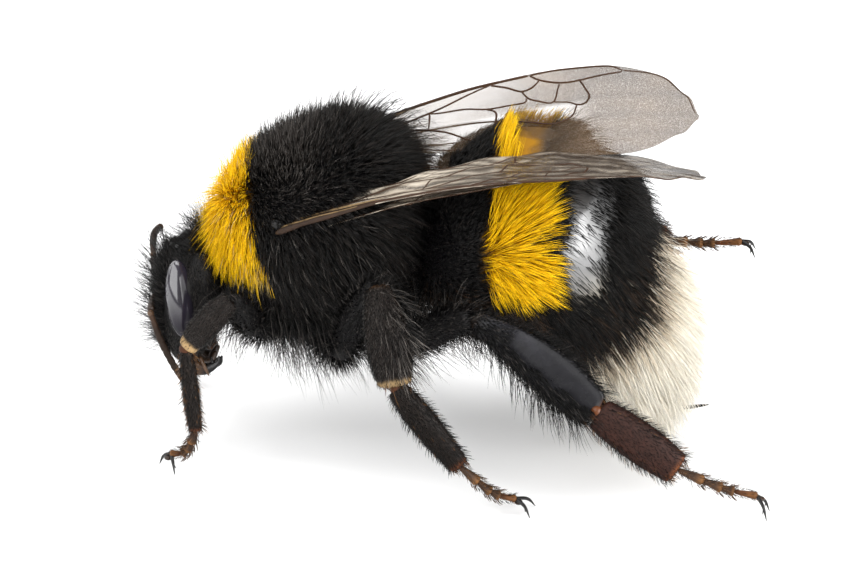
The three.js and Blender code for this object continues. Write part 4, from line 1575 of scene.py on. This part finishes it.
def grow_nape():
    """Long loose strands that rise between the head and the collar."""
    bed = Bed(NECK, 130, reach=0.5)
    bed.only(bed.normals[:, 2] > -0.1)
    lie = stack(-0.9, 0.3 * np.sign(bed.roots[:, 1]), 0.5)
    coat.grow("head", bed, "black", lie + 0.35 * bed.swirl(1.0, 51), (52, 14), (1.95, 0.5, 1.25),
              (0.0105, 0.8, 1.2), segments=3, clump=0.35, together=6, stray=0.2, wave=0.04)


grow_head_fur()
grow_head_bristles()
grow_cheeks()
grow_nape()

# Legs -----------------------------------------------------------------------------
# Each segment's hairs: how many on each mm2, their length, their angle off the shell, the share of grey
# ones (their lighter tips are painted sheen) and of golden ones, and the length and share of long ones along
# the edges.
LEG_HAIR = {
    "front": {
        "coxa": (90, 0.8, 42, 0.2, 0.0, 1.5, 0.10),
        "femur": (90, 0.6, 32, 0.2, 0.0, 1.2, 0.08),
        "tibia": (280, 0.15, 16, 0.4, 0.0, 0.26, 0.05),
        "basitarsus": (190, 0.22, 26, 0.05, 0.22, 0.34, 0.3),
        "tarsus": (90, 0.2, 34, 0.1, 0.3, 0.26, 0.2),
    },
    "mid": {
        "coxa": (90, 0.9, 42, 0.2, 0.0, 1.7, 0.12),
        "femur": (90, 0.7, 34, 0.2, 0.0, 1.5, 0.10),
        "tibia": (270, 0.2, 20, 0.35, 0.0, 1.25, 0.06),
        "basitarsus": (240, 0.24, 26, 0.02, 0.02, 0.38, 0.4),
        "tarsus": (90, 0.22, 34, 0.1, 0.25, 0.3, 0.25),
    },
    "hind": {
        "coxa": (80, 0.9, 42, 0.15, 0.0, 1.7, 0.12),
        "femur": (90, 0.7, 34, 0.25, 0.0, 1.9, 0.14),
        "tibia": (230, 0.5, 26, 0.1, 0.0, 1.4, 0.4),
        "basitarsus": (150, 0.12, 18, 0.02, 0.04, 0.42, 0.9),
        "tarsus": (90, 0.22, 34, 0.05, 0.35, 0.32, 0.25),
    },
}


def leg_loft(leg, name):
    """The loft that a segment's hairs grow on; the small joints of the foot share one."""
    if name != "tarsus":
        return LEG_LOFTS[leg][name]
    radii = [0.16, 0.19, 0.15]
    return Loft(LEGS[leg][4:], radii, radii, caps=(0.05, 0.05))


def behind_share(bed, leg):
    """Above 0 on the edge of a segment that faces back or up, and 1 at that edge."""
    return -np.sin(bed.a) * side_of(leg)


def grow_leg(leg):
    kind = kind_of(leg)
    for index, (name, plan) in enumerate(LEG_HAIR[kind].items()):
        per_mm2, long, stand, grey, golden, edge_long, edge_share = plan
        upper = name in ("coxa", "femur")
        shin = kind if name == "tibia" else None
        bed = Bed(leg_loft(leg, name), per_mm2, reach=0.45, on_body=upper)
        bed.uv[:, 1] = (index + bed.uv[:, 1]) / len(LEG_HAIR[kind])
        if shin == "hind":
            behind = behind_share(bed, leg)
            low_edge = -0.2 + 0.15 * ripple(bed.roots, 1.0, 71)
            basket_floor = (np.cos(bed.a) > 0.1) & (behind > low_edge) & (behind < 0.85) & (bed.t > 0.3)
            bed.only(~basket_floor)
        elif shin:
            end = SHIN_ENDS[kind][1]
            bed.thin(1 - 0.8 * step(end - 0.03, end + 0.01, bed.t))
        behind = behind_share(bed, leg)
        ahead, _, _ = bed.loft.axes(bed.t)
        count = len(bed.t)
        edge = np.abs(np.sin(bed.a)) ** 3
        fringe = chance(edge_share * edge * (1.6 if upper else 1.0))
        if shin == "mid":
            fringe = chance(0.17 * step(-0.3, 0.4, behind))
        rise = stand + np.where(fringe, 26, 10 * edge) + rng.normal(size=count) * 7
        length = np.where(fringe, edge_long, long) * some(0.6, 1.2, count)
        if shin == "hind":
            length = length * np.where(behind > 0, 0.55, 1.1)
        radius = np.where(fringe, 0.0115, 0.0125) * some(0.8, 1.2, count)
        # Grey-tipped hairs are painted sheen on the black leg hair.
        colors = np.where(chance(grey, count), "grey", "black")
        if shin == "mid":
            colors = np.where(fringe & chance(0.3, count), "glint", colors)
        tip_gold = step(0.95, 1.0, bed.t) * (name in ("tibia", "basitarsus"))
        golden_edge = 2.2 * golden * edge if name in ("basitarsus", "tarsus") else golden
        colors = np.where(chance(golden_edge + 0.45 * tip_gold), "gold", colors)
        for chosen, joints in ((fringe, 3), (~fringe, 1 if long < 0.3 else 2)):
            coat.grow(f"leg_{leg}", bed.part(chosen), colors[chosen], ahead[chosen], rise[chosen],
                      length[chosen], radius[chosen], segments=joints, bow=8 * (joints > 1), clump=0.25,
                      together=6)


for leg in LEGS:
    grow_leg(leg)

coat.make()

# ---- Camera, floor and light ---------------------------------------------------------------------

VIEW = {"turn": 6.0, "height": 22.0, "away": 350.0, "target": (0, 0, 6.79)}
FIELD_WIDTH = 33.92  # how many millimetres the picture is wide at the target
SENSOR = 36.0
FLOOR_REACH = 4.0  # metres from the middle to each edge
FLOOR_TONES = [(0.3, (0.86, 0.86, 0.86)), (0.7, (0.88, 0.88, 0.88))]
ROOM_LIGHT = 0.35
LIGHTS_AIM = (0, 0, 7)
# Each light's place, its width and height, and its power in watts.
LIGHTS = {
    "key": ((-113, -113, 104), (235, 190), 0.42),
    "front": ((-141, 75, 100), (190, 180), 0.2),
    "right": ((152, -45, 60), (170, 145), 0.15),
    "fill": ((116, -118, 60), (175, 130), 0.46),
    "overhead": ((0, 30, 230), (180, 180), 0.42),
}


def view_direction():
    turn, height = math.radians(VIEW["turn"]), math.radians(VIEW["height"])
    level = math.cos(height)
    return np.array([-math.sin(turn) * level, math.cos(turn) * level, -math.sin(height)])


def aim(made, way):
    """Turns a camera or a light to look along a direction."""
    made.rotation_euler = Vector(way).to_track_quat("-Z", "Y").to_euler()


def make_camera():
    data = bpy.data.cameras.new("camera")
    data.sensor_width = SENSOR
    data.lens = SENSOR * VIEW["away"] / FIELD_WIDTH
    data.clip_start, data.clip_end = 0.01, 20
    camera = put("camera", data)
    way = view_direction()
    camera.location = to_frame(np.array(VIEW["target"]) - way * VIEW["away"])
    aim(camera, way)
    bpy.context.scene.camera = camera


def make_floor():
    look = Look("floor", Roughness=0.9)
    look.drive("Base Color", look.ramp(look.noise(0.02), FLOOR_TONES))
    mesh = bpy.data.meshes.new("floor")
    corners = [(FLOOR_REACH * x, FLOOR_REACH * y, 0) for x, y in ((-1, -1), (1, -1), (1, 1), (-1, 1))]
    mesh.from_pydata(corners, [], [(0, 1, 2, 3)])
    mesh.materials.append(look.material)
    floor = put("floor", mesh)


def softbox(name, place, size, watts):
    data = bpy.data.lights.new(name, "AREA")
    data.shape = "RECTANGLE"
    data.size, data.size_y = size[0] * MM, size[1] * MM
    data.energy = watts
    box = put(name, data)
    box.location = to_frame(place)
    aim(box, Vector(to_frame(LIGHTS_AIM)) - box.location)


def make_light():
    world = bpy.data.worlds.new("studio")
    world.use_nodes = True
    background = world.node_tree.nodes["Background"].inputs
    background["Color"].default_value = (1, 1, 1, 1)
    background["Strength"].default_value = ROOM_LIGHT
    bpy.context.scene.world = world
    for name, light in LIGHTS.items():
        softbox(name, *light)


make_camera()
make_floor()
make_light()
bpy.context.scene.view_settings.view_transform = "Standard"
